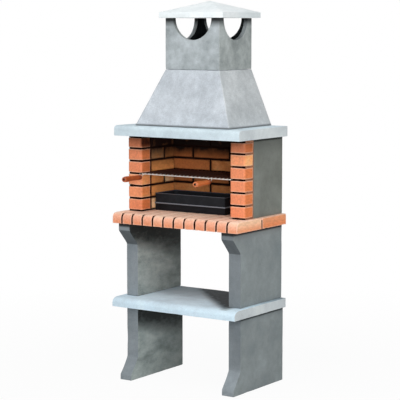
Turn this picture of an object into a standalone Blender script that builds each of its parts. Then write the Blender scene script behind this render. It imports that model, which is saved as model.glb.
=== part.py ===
"""Outdoor masonry barbecue: concrete legs and chimney, brick firebox, wire grill, steel trays.

Every length is a real size in metres, +Z is up and the cook stands on the -Y side. The origin
lies on the floor below the middle of the bounding box. Depths are counted from the flush back
face of the concrete towards the cook.
"""

import math

import bmesh
import bpy
from mathutils import Matrix, Vector

# Brickwork
BRICK_THICKNESS = 0.055
BRICK_LENGTH = 0.220
JOINT_WIDTH = 0.009
JOINT_RAKE = 0.009
HEAD_JOINT_RAKE = 0.008
CORNER_JOINT_RAKE = 0.0075
MORTAR_SETBACK = 0.0015
COURSE_COUNT = 6
TOP_COURSE_CUT = 0.0055
LEDGE_COLUMNS = 12
SEAT_GAP = 0.0003
CUT_OVERRUN = 0.010
MERGE_DISTANCE = 0.0001

# Legs, each a cast slab with a foot and a corbel that lean forward
LEG_SPREAD = 0.700
LEG_THICKNESS = 0.071
LEG_DEPTH = 0.388
LOWER_LEG_HEIGHT = 0.386
LOWER_LEG_BACK_REACH = 0.016
UPPER_LEG_HEIGHT = 0.3815
FOOT_REACH = 0.061
FOOT_LIP = 0.029
FOOT_RISE = 0.084
CORBEL_REACH = 0.068
CORBEL_LIP = 0.037
CORBEL_DROP = 0.074
LEG_BLEND = 0.009

# Shelf between the two pairs of legs
SHELF_WIDTH = 0.751
SHELF_DEPTH = 0.481
SHELF_THICKNESS = 0.0475
SHELF_NOSE_DEPTH = 0.040
SHELF_NOSE_HEIGHT = 0.027

# Brick ledge
LEDGE_SETBACK = 0.008
LEDGE_BRICK_LENGTH = 0.2255
NOSING_RADIUS = 0.026

# Firebox
FIREBOX_FRONT_DEPTH = 0.3646
FIREBOX_WIDTH = 0.7126
PILLAR_WIDTH = 0.0875
PILLAR_DEPTH = 0.075
PILLAR_CORNER_RADIUS = 0.010
PANEL_INSET = 0.001
SIDE_PANEL_THICKNESS = 0.028
BACK_PANEL_THICKNESS = 0.028
BACK_LINING_THICKNESS = 0.031
LINING_CUT_LENGTH = 0.111
BACK_CUT_LENGTH = 0.110

# Lintel slab, hood, chimney stack and cap
LINTEL_WIDTH = 0.760
LINTEL_DEPTH = 0.451
LINTEL_THICKNESS = 0.052
LINTEL_NOSE_DEPTH = 0.020
LINTEL_NOSE_HEIGHT = 0.018
HOOD_BASE_WIDTH = 0.573
HOOD_BASE_DEPTH = 0.397
HOOD_HEIGHT = 0.283
HOOD_WALL = 0.0325
HOOD_CORNER_RADIUS = 0.005
STACK_WIDTH = 0.329
STACK_DEPTH = 0.301
STACK_HEIGHT = 0.259
STACK_WALL = 0.025
STACK_CORNER_RADIUS = 0.005
FRONT_NOTCH_WIDTH = 0.231
SIDE_NOTCH_WIDTH = 0.220
NOTCH_DROP = 0.110
CAP_WIDTH = 0.387
CAP_DEPTH = 0.354
CAP_EDGE = 0.0285
CAP_RISE = 0.058
CAP_SETBACK = 0.0115

# Wire grill with two turned handles, whose insets count from the pillars' inner faces
GRILL_DEPTH = 0.285
GRILL_GROOVE_CLEARANCE = 0.0005
GRILL_COURSES_BELOW = 3
FRAME_WIRE = 0.006
GRID_WIRE = 0.004
GRID_PITCH = 0.024
GRILL_CROSS_WIRES = 4
WELD_SINK = 0.0008
LEFT_HANDLE_INSET = 0.0008
RIGHT_HANDLE_INSET = 0.1138
HANDLE_LENGTH = 0.140
HANDLE_DROP = 0.0165
RIGHT_HANDLE_YAW = math.radians(4.2)
HAIRPIN_STANDOFF = 0.0035
HAIRPIN_WIDTH = 0.024
HAIRPIN_APEX_WIDTH = 0.004
TANG_WIRE = 0.005
NUT_WIDTH = 0.012
NUT_LENGTH = 0.008
HANDLE_BULB_RADIUS = 0.0152
HANDLE_WAIST_RADIUS = 0.0125
HANDLE_NECK_RADIUS = 0.0132
HANDLE_NOSE_RADIUS = 0.0112
HANDLE_NECK_LENGTH = 0.005
WAIST_SHARE = 0.36
BULB_SHARE = 0.84
HANDLE_SOCKET_RADIUS = 0.0062
HANDLE_SOCKET_DEPTH = 0.016

# Ash pan and the charcoal tray that stands on its rim and nests in it
PAN_WIDTH = 0.430
PAN_DEPTH = 0.178
PAN_HEIGHT = 0.041
PAN_BACK_CLEARANCE = 0.0062
PAN_SIDE_CLEARANCE = 0.004
SHEET = 0.002
PAN_RIM_HEIGHT = 0.007
PAN_RIM_REACH = 0.0035
TRAY_TOP_HEIGHT = 0.090
TRAY_FLOOR_HEIGHT = 0.016
TRAY_CLEARANCE = 0.002
TRAY_LIP_REACH = 0.0015
TRAY_LIP_HEIGHT = 0.003
SLOT_WIDTH = 0.008
SLOT_LENGTH = 0.110
SLOT_COUNT = 9

# Facets of round shapes, and the turn above which an edge is a corner
CURVE_STEPS = 8
ARC_SEGMENTS = 6
NOTCH_SEGMENTS = 40
WIRE_SIDES = 8
HALF_FACET = math.pi / WIRE_SIDES
BENT_WIRE_RESOLUTION = 2
TURNED_STEPS = 20
CORNER_ANGLE = math.radians(40)

# Levels from the floor up
SHELF_BOTTOM = LOWER_LEG_HEIGHT + SEAT_GAP
SHELF_TOP = SHELF_BOTTOM + SHELF_THICKNESS
UPPER_LEG_BOTTOM = SHELF_TOP + SEAT_GAP
UPPER_LEG_TOP = UPPER_LEG_BOTTOM + UPPER_LEG_HEIGHT
LEDGE_BOTTOM = UPPER_LEG_TOP + SEAT_GAP
LEDGE_TOP = LEDGE_BOTTOM + BRICK_THICKNESS
COURSE_PITCH = BRICK_THICKNESS + JOINT_WIDTH
FIREBOX_TOP = LEDGE_TOP + COURSE_COUNT * COURSE_PITCH + JOINT_WIDTH
LINTEL_BOTTOM = FIREBOX_TOP
LINTEL_TOP = LINTEL_BOTTOM + LINTEL_THICKNESS
HOOD_BOTTOM = LINTEL_TOP + SEAT_GAP
HOOD_TOP = HOOD_BOTTOM + HOOD_HEIGHT
STACK_BOTTOM = HOOD_TOP + SEAT_GAP
STACK_TOP = STACK_BOTTOM + STACK_HEIGHT
CAP_BOTTOM = STACK_TOP + SEAT_GAP

LEDGE_DEPTH = 2 * LEDGE_BRICK_LENGTH + JOINT_WIDTH

# The flush back face lies where the bounding box is centred on the origin, and the grill's
# front wire is flush with the pillars
HAIRPIN_DEPTH = FIREBOX_FRONT_DEPTH + HAIRPIN_STANDOFF
NUT_REACH = GRID_WIRE / 2 + NUT_LENGTH
NECK_REACH = NUT_REACH + SEAT_GAP
NOSE_REACH = NECK_REACH + HANDLE_LENGTH
TURNED_REACH = (
    NOSE_REACH * math.cos(RIGHT_HANDLE_YAW) + HANDLE_NOSE_RADIUS * math.sin(RIGHT_HANDLE_YAW))
HANDLE_TIP_DEPTH = HAIRPIN_DEPTH + max(NOSE_REACH, TURNED_REACH)
CAP_BACK_REACH = (CAP_DEPTH - STACK_DEPTH) / 2 + CAP_SETBACK
BACK_Y = (HANDLE_TIP_DEPTH - CAP_BACK_REACH) / 2

# Firebox planes
INNER_HALF_WIDTH = FIREBOX_WIDTH / 2 - PILLAR_WIDTH
PILLAR_BACK_DEPTH = FIREBOX_FRONT_DEPTH - PILLAR_DEPTH
SIDE_WALL_FRONT_DEPTH = PILLAR_BACK_DEPTH - JOINT_WIDTH
BACK_LINING_BACK_DEPTH = LEDGE_SETBACK + BACK_PANEL_THICKNESS + SEAT_GAP
BACK_LINING_FACE_DEPTH = BACK_LINING_BACK_DEPTH + BACK_LINING_THICKNESS
PANEL_OUTER_HALF = FIREBOX_WIDTH / 2 - PANEL_INSET
PANEL_INNER_HALF = PANEL_OUTER_HALF - SIDE_PANEL_THICKNESS
LINING_OUTER_HALF = PANEL_INNER_HALF - SEAT_GAP
LEFT_HANDLE_X = LEFT_HANDLE_INSET - INNER_HALF_WIDTH
RIGHT_HANDLE_X = INNER_HALF_WIDTH - RIGHT_HANDLE_INSET

# Colours read from the photograph, as sRGB hex
CONCRETE_LEG = "#7E8590"
CONCRETE_SHELF = "#C9D6DC"
CONCRETE_PANEL = "#6E7169"
CONCRETE_HOOD = "#C3C8CE"
CONCRETE_STACK = "#A3ABAB"
CONCRETE_CAP = "#EEF4F6"
BRICK_SALMON = "#F0A07C"
BRICK_ORANGE = "#E98A58"
BRICK_SHADE = "#9A6038"
MORTAR_BROWN = "#4A2A18"
ZINC = "#E6E0DA"
WOOD = "#C0602F"
BLACK_STEEL = "#23252A"


def y_at(depth: float) -> float:
    """World Y of a plane that lies `depth` in front of the flush back face."""
    return BACK_Y - depth


def srgb(code: str) -> tuple:
    """Linear RGBA of an sRGB hex colour."""
    channels = [int(code[i:i + 2], 16) / 255 for i in (1, 3, 5)]
    linear = [c / 12.92 if c <= 0.04045 else ((c + 0.055) / 1.055) ** 2.4 for c in channels]
    return (*linear, 1.0)


def clear_scene() -> None:
    """Remove every object and every empty collection of the open file."""
    for item in list(bpy.data.objects):
        bpy.data.objects.remove(item, do_unlink=True)
    for group in list(bpy.data.collections):
        bpy.data.collections.remove(group)


def new_collection(name: str) -> bpy.types.Collection:
    """Make a collection and link it to the scene."""
    group = bpy.data.collections.new(name)
    bpy.context.scene.collection.children.link(group)
    return group


def finish(obj: bpy.types.Object, code: str, roughness: float, metallic: float = 0.0) -> None:
    """Give an object its own Principled material."""
    material = bpy.data.materials.new(obj.name + "_finish")
    material.use_nodes = True
    shader = material.node_tree.nodes["Principled BSDF"]
    shader.inputs["Base Color"].default_value = srgb(code)
    shader.inputs["Roughness"].default_value = roughness
    shader.inputs["Metallic"].default_value = metallic
    obj.data.materials.append(material)


def mesh_object(name: str, shape: bmesh.types.BMesh, place: Vector, group) -> bpy.types.Object:
    """Turn a bmesh that is centred on zero into an object that stands at `place`."""
    bmesh.ops.recalc_face_normals(shape, faces=shape.faces)
    mesh = bpy.data.meshes.new(name)
    shape.to_mesh(mesh)
    shape.free()
    obj = bpy.data.objects.new(name, mesh)
    obj.location = place
    group.objects.link(obj)
    return obj


def shade_round(obj: bpy.types.Object) -> bpy.types.Object:
    """Shade a mesh smooth across its round stretches and keep its corners sharp."""
    obj.data.shade_smooth()
    obj.data.set_sharp_from_angle(angle=CORNER_ANGLE)
    return obj


def cube_shape(size: Vector) -> bmesh.types.BMesh:
    """A cuboid bmesh of the given size, centred on zero."""
    shape = bmesh.new()
    bmesh.ops.create_cube(shape, size=1.0, matrix=Matrix.Diagonal((*size, 1.0)))
    return shape


def grown(pair: tuple, reach: float) -> tuple:
    """A pair of limits moved apart by `reach` at each end."""
    return pair[0] - reach, pair[1] + reach


def span(x: tuple, depth: tuple, z: tuple) -> tuple:
    """Centre and size of the cuboid between two X, two depths and two heights."""
    centre = Vector((sum(x) / 2, y_at(sum(depth) / 2), sum(z) / 2))
    size = Vector((abs(x[1] - x[0]), abs(depth[1] - depth[0]), abs(z[1] - z[0])))
    return centre, size


def block(name: str, x: tuple, depth: tuple, z: tuple, group) -> bpy.types.Object:
    """A plain cuboid between two X, two depths and two heights."""
    centre, size = span(x, depth, z)
    return mesh_object(name, cube_shape(size), centre, group)


def edge_side(edge: bmesh.types.BMEdge) -> Vector:
    """Direction from the shape's middle to the middle of an edge."""
    return (edge.verts[0].co + edge.verts[1].co) / 2


def edge_runs_along(edge: bmesh.types.BMEdge, axis: int) -> bool:
    """Whether an edge is parallel to the given axis."""
    line = edge.verts[1].co - edge.verts[0].co
    return line.length - abs(line[axis]) < MERGE_DISTANCE


def round_edges(shape: bmesh.types.BMesh, edges: list, radius: float, segments: int) -> None:
    """Round the given edges with a circular bevel."""
    bmesh.ops.bevel(
        shape, geom=edges, offset=radius, offset_type="OFFSET", segments=segments,
        profile=0.5, affect="EDGES", clamp_overlap=True, material=-1,
    )


def cutter(obj: bpy.types.Object) -> bpy.types.Object:
    """Mark an object as a tool that only cuts or joins others."""
    obj.hide_render = True
    obj.display_type = "WIRE"
    return obj


def combine(target: bpy.types.Object, tool: bpy.types.Object, operation: str) -> None:
    """Add an exact Boolean to the target."""
    modifier = target.modifiers.new(operation.lower() + "_" + tool.name, "BOOLEAN")
    modifier.operation = operation
    modifier.solver = "EXACT"
    modifier.object = tool


def ease(share: float) -> float:
    """Smooth step from 0 to 1 that starts and ends level."""
    return share * share * (3 - 2 * share)


def outline_object(name: str, points: list, thickness: float, place: Vector, turn: tuple, group):
    """A flat outline, extruded both ways about its plane by half the thickness."""
    curve = bpy.data.curves.new(name, "CURVE")
    curve.dimensions = "2D"
    curve.fill_mode = "BOTH"
    curve.extrude = thickness / 2
    spline = curve.splines.new("POLY")
    spline.points.add(len(points) - 1)
    for slot, (u, v) in zip(spline.points, points):
        slot.co = (u, v, 0.0, 1.0)
    spline.use_cyclic_u = True
    obj = bpy.data.objects.new(name, curve)
    obj.location = place
    obj.rotation_euler = turn
    group.objects.link(obj)
    return obj


def side_outline(name: str, points: list, x_middle: float, thickness: float, group):
    """Extrude an outline of (depth, height) points across X."""
    turned = [(-depth, height) for depth, height in points]
    place = Vector((x_middle, BACK_Y, 0.0))
    return outline_object(name, turned, thickness, place, (math.pi / 2, 0.0, math.pi / 2), group)


def blended(before: tuple, corner: tuple, after: tuple, reach: float) -> list:
    """Points that round a corner of an outline, starting and ending `reach` away from it."""
    middle = Vector(corner)
    start = middle + (Vector(before) - middle).normalized() * reach
    end = middle + (Vector(after) - middle).normalized() * reach
    bend = []
    for step in range(ARC_SEGMENTS + 1):
        share = step / ARC_SEGMENTS
        point = start.lerp(middle, share).lerp(middle.lerp(end, share), share)
        bend.append(tuple(point))
    return bend


def make_lower_leg(name: str, x_middle: float, group) -> None:
    """A lower leg: a slab whose foot leans forward, deeper at the back than the slabs above it."""
    back, toe = -LOWER_LEG_BACK_REACH, LEG_DEPTH + FOOT_REACH
    low, high = (toe, FOOT_LIP), (LEG_DEPTH, FOOT_LIP + FOOT_RISE)
    points = [(back, 0.0), (toe, 0.0)]
    points += blended((toe, 0.0), low, high, LEG_BLEND)
    points += blended(low, high, (LEG_DEPTH, LOWER_LEG_HEIGHT), LEG_BLEND)
    points += [(LEG_DEPTH, LOWER_LEG_HEIGHT), (back, LOWER_LEG_HEIGHT)]
    leg = side_outline(name, points, x_middle, LEG_THICKNESS, group)
    finish(leg, CONCRETE_LEG, 0.9)


def make_upper_leg(name: str, x_middle: float, group) -> None:
    """An upper leg: a slab whose head corbels forward under the ledge."""
    nose = LEG_DEPTH + CORBEL_REACH
    lip = UPPER_LEG_TOP - CORBEL_LIP
    low, high = (LEG_DEPTH, lip - CORBEL_DROP), (nose, lip)
    points = [(0.0, UPPER_LEG_BOTTOM), (LEG_DEPTH, UPPER_LEG_BOTTOM)]
    points += blended((LEG_DEPTH, UPPER_LEG_BOTTOM), low, high, LEG_BLEND)
    points += blended(low, high, (nose, UPPER_LEG_TOP), LEG_BLEND)
    points += [(nose, UPPER_LEG_TOP), (0.0, UPPER_LEG_TOP)]
    leg = side_outline(name, points, x_middle, LEG_THICKNESS, group)
    finish(leg, CONCRETE_LEG, 0.9)


def nosed_slab(name: str, x, depth, z, nose_depth: float, nose_height: float, group):
    """A square slab whose front top edge is a quarter ellipse of the given depth and height."""
    centre, size = span(x, depth, z)
    shape = cube_shape(size)
    nose = [
        e for e in shape.edges if edge_runs_along(e, 0) and edge_side(e).y < 0 and edge_side(e).z > 0]
    round_edges(shape, nose, nose_height, ARC_SEGMENTS)
    front = -size.y / 2
    for vert in shape.verts:
        if vert.co.y < front + nose_height + MERGE_DISTANCE:
            vert.co.y = front + (vert.co.y - front) * nose_depth / nose_height
    return shade_round(mesh_object(name, shape, centre, group))


def make_shelf(group) -> None:
    """The cast shelf slab that both pairs of legs share."""
    half = SHELF_WIDTH / 2
    slab = nosed_slab(
        "shelf_slab", (-half, half), (0.0, SHELF_DEPTH), (SHELF_BOTTOM, SHELF_TOP),
        SHELF_NOSE_DEPTH, SHELF_NOSE_HEIGHT, group,
    )
    finish(slab, CONCRETE_SHELF, 0.85)


def ledge_column_x(column: int) -> tuple:
    """Left and right X of one column of ledge bricks."""
    total = LEDGE_COLUMNS * BRICK_THICKNESS + (LEDGE_COLUMNS - 1) * JOINT_WIDTH
    left = -total / 2 + column * COURSE_PITCH
    return left, left + BRICK_THICKNESS


def make_nosing_brick(column: int, group) -> None:
    """A front ledge brick with a bullnosed top edge."""
    depth = (LEDGE_SETBACK + LEDGE_BRICK_LENGTH + JOINT_WIDTH, LEDGE_SETBACK + LEDGE_DEPTH)
    brick = nosed_slab(f"nosing_brick_{column + 1:02d}", ledge_column_x(column), depth,
                       (LEDGE_BOTTOM, LEDGE_TOP), NOSING_RADIUS, NOSING_RADIUS, group)
    finish(brick, BRICK_SALMON, 0.85)


def make_ledge(group, tools) -> None:
    """Two rows of ledge bricks and the mortar lattice between them."""
    for column in range(LEDGE_COLUMNS):
        make_nosing_brick(column, group)
        back = (LEDGE_SETBACK, LEDGE_SETBACK + LEDGE_BRICK_LENGTH)
        name = f"ledge_brick_{column + 1:02d}"
        brick = block(name, ledge_column_x(column), back, (LEDGE_BOTTOM, LEDGE_TOP), group)
        finish(brick, BRICK_SALMON, 0.85)
    height = (LEDGE_BOTTOM + MORTAR_SETBACK, LEDGE_TOP - MORTAR_SETBACK)
    middle = LEDGE_SETBACK + LEDGE_BRICK_LENGTH
    left, right = ledge_column_x(0)[0], ledge_column_x(LEDGE_COLUMNS - 1)[1]
    across = (left + JOINT_RAKE, right - JOINT_RAKE)
    lattice = block(
        "ledge_mortar", across, (middle + SEAT_GAP, middle + JOINT_WIDTH - SEAT_GAP), height, group)
    along = (LEDGE_SETBACK + MORTAR_SETBACK, LEDGE_SETBACK + LEDGE_DEPTH - JOINT_RAKE)
    for column in range(LEDGE_COLUMNS - 1):
        start = ledge_column_x(column)[1] + SEAT_GAP
        strip_x = (start, start + JOINT_WIDTH - 2 * SEAT_GAP)
        strip = block(f"ledge_strip_{column + 1:02d}", strip_x, along, height, tools)
        combine(lattice, cutter(strip), "UNION")
    finish(lattice, MORTAR_BROWN, 0.95)


def course_z(course: int) -> tuple:
    """Bottom and top height of a firebox course, counted from the ledge up; the last is cut down."""
    bottom = LEDGE_TOP + JOINT_WIDTH + course * COURSE_PITCH
    cut = TOP_COURSE_CUT if course == COURSE_COUNT - 1 else 0.0
    return bottom, bottom + BRICK_THICKNESS - cut


def bed_z(bed: int) -> tuple:
    """Bottom and top height of a mortar bed, from the one on the ledge to the one below the lintel."""
    bottom = course_z(bed - 1)[1] if bed else LEDGE_TOP
    top = course_z(bed)[0] if bed < COURSE_COUNT else FIREBOX_TOP
    return bottom, top


def make_pillar(side: int, label: str, group) -> None:
    """A pillar of six bricks with rounded front corners, and its comb of mortar beds.

    The beds are raked at the front and towards the fire, and flush on the outer side.
    """
    outer, inner = side * FIREBOX_WIDTH / 2, side * INNER_HALF_WIDTH
    for course in range(COURSE_COUNT):
        depth = (PILLAR_BACK_DEPTH, FIREBOX_FRONT_DEPTH)
        centre, size = span((inner, outer), depth, course_z(course))
        shape = cube_shape(size)
        corners = [e for e in shape.edges if edge_runs_along(e, 2) and edge_side(e).y < 0]
        round_edges(shape, corners, PILLAR_CORNER_RADIUS, ARC_SEGMENTS)
        number = COURSE_COUNT - course
        brick = shade_round(mesh_object(f"{label}_pillar_brick_{number}", shape, centre, group))
        finish(brick, BRICK_ORANGE, 0.85)
    spine_back, spine_front = SIDE_WALL_FRONT_DEPTH + SEAT_GAP, PILLAR_BACK_DEPTH - SEAT_GAP
    bed_front = FIREBOX_FRONT_DEPTH - JOINT_RAKE
    points = [(spine_back, LEDGE_TOP + SEAT_GAP)]
    for bed in range(COURSE_COUNT + 1):
        low, high = grown(bed_z(bed), -SEAT_GAP)
        if bed:
            points.append((spine_front, low))
        points += [(bed_front, low), (bed_front, high)]
        if bed < COURSE_COUNT:
            points.append((spine_front, high))
    points.append((spine_back, FIREBOX_TOP - SEAT_GAP))
    raked, flush = inner + side * JOINT_RAKE, outer - side * MORTAR_SETBACK
    comb = side_outline(
        f"{label}_pillar_mortar", points, (raked + flush) / 2, abs(flush - raked), group)
    finish(comb, MORTAR_BROWN, 0.95)


def wall_heights() -> tuple:
    """Bottom and top of the firebox walls, clear of the ledge and the lintel."""
    return LEDGE_TOP + SEAT_GAP, FIREBOX_TOP - SEAT_GAP


def rake_beds(wall, x: tuple, depth: tuple, tools) -> None:
    """Cut the raked bed joints of every course along one face of a brick wall."""
    for bed in range(COURSE_COUNT + 1):
        low, high = bed_z(bed)
        if bed == 0:
            low -= CUT_OVERRUN
        if bed == COURSE_COUNT:
            high += CUT_OVERRUN
        tool = block(f"{wall.name}_bed_{bed}", x, depth, (low, high), tools)
        combine(wall, cutter(tool), "DIFFERENCE")


def head_joint_z(course: int) -> tuple:
    """Heights that an upright joint of a course is cut between, halfway into the beds around it."""
    return grown(course_z(course), JOINT_WIDTH / 2)


def make_side_lining(side: int, label: str, group, tools) -> None:
    """The brick lining of one side wall, its bricks bedded together, joints raked on the inside."""
    inner, outer = side * INNER_HALF_WIDTH, side * LINING_OUTER_HALF
    back = BACK_LINING_FACE_DEPTH + SEAT_GAP
    lining = block(f"{label}_side_lining", (inner, outer), (back, SIDE_WALL_FRONT_DEPTH),
                   wall_heights(), group)
    face_x = (inner - side * CUT_OVERRUN, inner + side * JOINT_RAKE)
    rake_beds(lining, face_x, (back - CUT_OVERRUN, SIDE_WALL_FRONT_DEPTH + CUT_OVERRUN), tools)
    split = SIDE_WALL_FRONT_DEPTH - LINING_CUT_LENGTH
    head_x = (inner - side * CUT_OVERRUN, inner + side * HEAD_JOINT_RAKE)
    for course in range(0, COURSE_COUNT, 2):
        tool = block(f"{lining.name}_head_{course}", head_x, (split - JOINT_WIDTH, split),
                     head_joint_z(course), tools)
        combine(lining, cutter(tool), "DIFFERENCE")
    corner_x = (inner - side * CUT_OVERRUN, inner + side * CORNER_JOINT_RAKE)
    corner_depth = (back - 2 * CUT_OVERRUN, back + JOINT_WIDTH)
    corner = block(f"{lining.name}_corner", corner_x, corner_depth,
                   grown(wall_heights(), 2 * CUT_OVERRUN), tools)
    combine(lining, cutter(corner), "DIFFERENCE")
    finish(lining, BRICK_SHADE, 0.9)


def back_head_joints(course: int) -> list:
    """Left X of each upright joint in one course of the back wall, in running bond."""
    first = BACK_CUT_LENGTH if course % 2 == 0 else BRICK_LENGTH
    pitch = BRICK_LENGTH + JOINT_WIDTH
    count = int((2 * INNER_HALF_WIDTH - first) / pitch) + 1
    return [first - INNER_HALF_WIDTH + index * pitch for index in range(count)]


def make_back_lining(group, tools) -> None:
    """The back wall's brick lining in running bond, joints raked on the fire side."""
    half = LINING_OUTER_HALF
    lining = block("back_lining", (-half, half), (BACK_LINING_BACK_DEPTH, BACK_LINING_FACE_DEPTH),
                   wall_heights(), group)
    face = (BACK_LINING_FACE_DEPTH - JOINT_RAKE, BACK_LINING_FACE_DEPTH + CUT_OVERRUN)
    rake_beds(lining, (-half - CUT_OVERRUN, half + CUT_OVERRUN), face, tools)
    head_face = (BACK_LINING_FACE_DEPTH - HEAD_JOINT_RAKE, BACK_LINING_FACE_DEPTH + CUT_OVERRUN)
    for course in range(COURSE_COUNT):
        for index, left in enumerate(back_head_joints(course)):
            tool = block(f"back_head_{course}_{index}", (left, left + JOINT_WIDTH), head_face,
                         head_joint_z(course), tools)
            combine(lining, cutter(tool), "DIFFERENCE")
    finish(lining, BRICK_SHADE, 0.9)


def make_panels(group) -> None:
    """The cast side and back panels outside the brick lining."""
    heights = wall_heights()
    for side, label in ((-1, "left"), (1, "right")):
        x = (side * PANEL_INNER_HALF, side * PANEL_OUTER_HALF)
        panel = block(f"{label}_wall_panel", x, (LEDGE_SETBACK, SIDE_WALL_FRONT_DEPTH), heights, group)
        finish(panel, CONCRETE_PANEL, 0.9)
    half = PANEL_INNER_HALF - SEAT_GAP
    depth = (LEDGE_SETBACK, LEDGE_SETBACK + BACK_PANEL_THICKNESS)
    panel = block("back_wall_panel", (-half, half), depth, heights, group)
    finish(panel, CONCRETE_PANEL, 0.9)


def make_lintel(group, tools) -> None:
    """The lintel slab, which bears on the walls and opens under the hood from the back wall on."""
    half = LINTEL_WIDTH / 2
    slab = nosed_slab(
        "lintel_slab", (-half, half), (0.0, LINTEL_DEPTH), (LINTEL_BOTTOM, LINTEL_TOP),
        LINTEL_NOSE_DEPTH, LINTEL_NOSE_HEIGHT, group,
    )
    flue_half = HOOD_BASE_WIDTH / 2 - HOOD_WALL
    flue_depth = (BACK_LINING_FACE_DEPTH, HOOD_BASE_DEPTH - HOOD_WALL)
    tool = block("flue_opening", (-flue_half, flue_half), flue_depth,
                 (LINTEL_BOTTOM - CUT_OVERRUN, LINTEL_TOP + CUT_OVERRUN), tools)
    combine(slab, cutter(tool), "DIFFERENCE")
    finish(slab, CONCRETE_SHELF, 0.85)


def hood_shape(inset: float, overrun: float, corner: float, name: str, group) -> bpy.types.Object:
    """A frustum from the hood's base to the stack, moved in by `inset` and longer by `overrun`."""
    slope_x = (HOOD_BASE_WIDTH - STACK_WIDTH) / 2 / HOOD_HEIGHT
    slope_y = (HOOD_BASE_DEPTH - STACK_DEPTH) / HOOD_HEIGHT
    centre, size = span(
        (-HOOD_BASE_WIDTH / 2, HOOD_BASE_WIDTH / 2), (0.0, HOOD_BASE_DEPTH), (HOOD_BOTTOM, HOOD_TOP))
    shape = cube_shape(size)
    for vert in shape.verts:
        top = vert.co.z > 0
        rise = HOOD_HEIGHT + overrun if top else -overrun
        half_width = HOOD_BASE_WIDTH / 2 - inset - slope_x * rise
        front = HOOD_BASE_DEPTH - inset - slope_y * rise
        vert.co.x = math.copysign(half_width, vert.co.x)
        vert.co.y = size.y / 2 - (front if vert.co.y < 0 else inset)
        vert.co.z = rise - size.z / 2
    if corner:
        upright = [e for e in shape.edges if not edge_runs_along(e, 0) and not edge_runs_along(e, 1)]
        round_edges(shape, upright, corner, ARC_SEGMENTS // 2)
    return shade_round(mesh_object(name, shape, centre, group))


def make_hood(group, tools) -> None:
    """The cast smoke hood: a hollow frustum with an upright back."""
    hood = hood_shape(0.0, 0.0, HOOD_CORNER_RADIUS, "hood", group)
    hollow = hood_shape(HOOD_WALL, CUT_OVERRUN, 0.0, "hood_hollow", tools)
    combine(hood, cutter(hollow), "DIFFERENCE")
    finish(hood, CONCRETE_HOOD, 0.9)


def notch_tool(name: str, width: float, length: float, turn: Matrix, tools) -> bpy.types.Object:
    """An elliptic bar that cuts one pair of smoke notches."""
    shape = bmesh.new()
    bmesh.ops.create_cone(
        shape, cap_ends=True, segments=NOTCH_SEGMENTS, radius1=1.0, radius2=1.0, depth=length)
    bmesh.ops.transform(
        shape, matrix=turn @ Matrix.Diagonal((width / 2, NOTCH_DROP, 1.0, 1.0)), verts=shape.verts)
    place = Vector((0.0, y_at(STACK_DEPTH / 2), STACK_TOP))
    return cutter(shade_round(mesh_object(name, shape, place, tools)))


def make_stack(group, tools) -> None:
    """The chimney stack: a square tube with a smoke notch in the top of each wall."""
    half = STACK_WIDTH / 2
    centre, size = span((-half, half), (0.0, STACK_DEPTH), (STACK_BOTTOM, STACK_TOP))
    shape = cube_shape(size)
    upright = [e for e in shape.edges if edge_runs_along(e, 2)]
    round_edges(shape, upright, STACK_CORNER_RADIUS, ARC_SEGMENTS // 2)
    stack = shade_round(mesh_object("chimney_stack", shape, centre, group))
    inner = half - STACK_WALL
    flue = block("stack_flue", (-inner, inner), (STACK_WALL, STACK_DEPTH - STACK_WALL),
                 (STACK_BOTTOM - CUT_OVERRUN, STACK_TOP + CUT_OVERRUN), tools)
    combine(stack, cutter(flue), "DIFFERENCE")
    along_y = Matrix.Rotation(math.pi / 2, 4, "X")
    along_x = Matrix.Rotation(math.pi / 2, 4, "Z") @ along_y
    reach = 2 * CUT_OVERRUN
    front = notch_tool("front_notch", FRONT_NOTCH_WIDTH, STACK_DEPTH + reach, along_y, tools)
    sides = notch_tool("side_notch", SIDE_NOTCH_WIDTH, STACK_WIDTH + reach, along_x, tools)
    combine(stack, front, "DIFFERENCE")
    combine(stack, sides, "DIFFERENCE")
    finish(stack, CONCRETE_STACK, 0.9)


def make_cap(group) -> None:
    """The chimney cap: a slab whose top rises to a low pyramid."""
    half = CAP_WIDTH / 2
    back = -CAP_BACK_REACH
    centre, size = span((-half, half), (back, back + CAP_DEPTH), (CAP_BOTTOM, CAP_BOTTOM + CAP_EDGE))
    shape = cube_shape(size)
    shape.faces.ensure_lookup_table()
    top = max(shape.faces, key=lambda face: face.calc_center_median().z)
    peak = bmesh.ops.poke(shape, faces=[top])["verts"][0]
    peak.co.z += CAP_RISE
    cap = mesh_object("chimney_cap", shape, centre, group)
    finish(cap, CONCRETE_CAP, 0.8)


def grill_level() -> float:
    """Height of the frame wires' centre line, on the course that carries the grill."""
    return course_z(GRILL_COURSES_BELOW - 1)[1] + SEAT_GAP + FRAME_WIRE / 2


def add_rod(shape: bmesh.types.BMesh, start: Vector, end: Vector, diameter: float,
            facet_turn: float = 0.0) -> None:
    """Add a round rod between two points to a bmesh, its facets turned about its axis."""
    line = end - start
    turn = line.to_track_quat("Z", "Y").to_matrix().to_4x4() @ Matrix.Rotation(facet_turn, 4, "Z")
    place = Matrix.Translation((start + end) / 2) @ turn
    bmesh.ops.create_cone(
        shape, cap_ends=True, segments=WIRE_SIDES, radius1=diameter / 2, radius2=diameter / 2,
        depth=line.length, matrix=place)


def grill_side_x() -> float:
    """X of the centre line of the right frame wire, inside the raked joint."""
    return INNER_HALF_WIDTH + JOINT_RAKE - GRILL_GROOVE_CLEARANCE - FRAME_WIRE / 2


def grid_wire_places() -> list:
    """X of each grid wire, spread evenly about the middle."""
    clear = 2 * (grill_side_x() - FRAME_WIRE)
    count = int(clear / GRID_PITCH)
    return [(index - (count - 1) / 2) * GRID_PITCH for index in range(count)]


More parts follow.
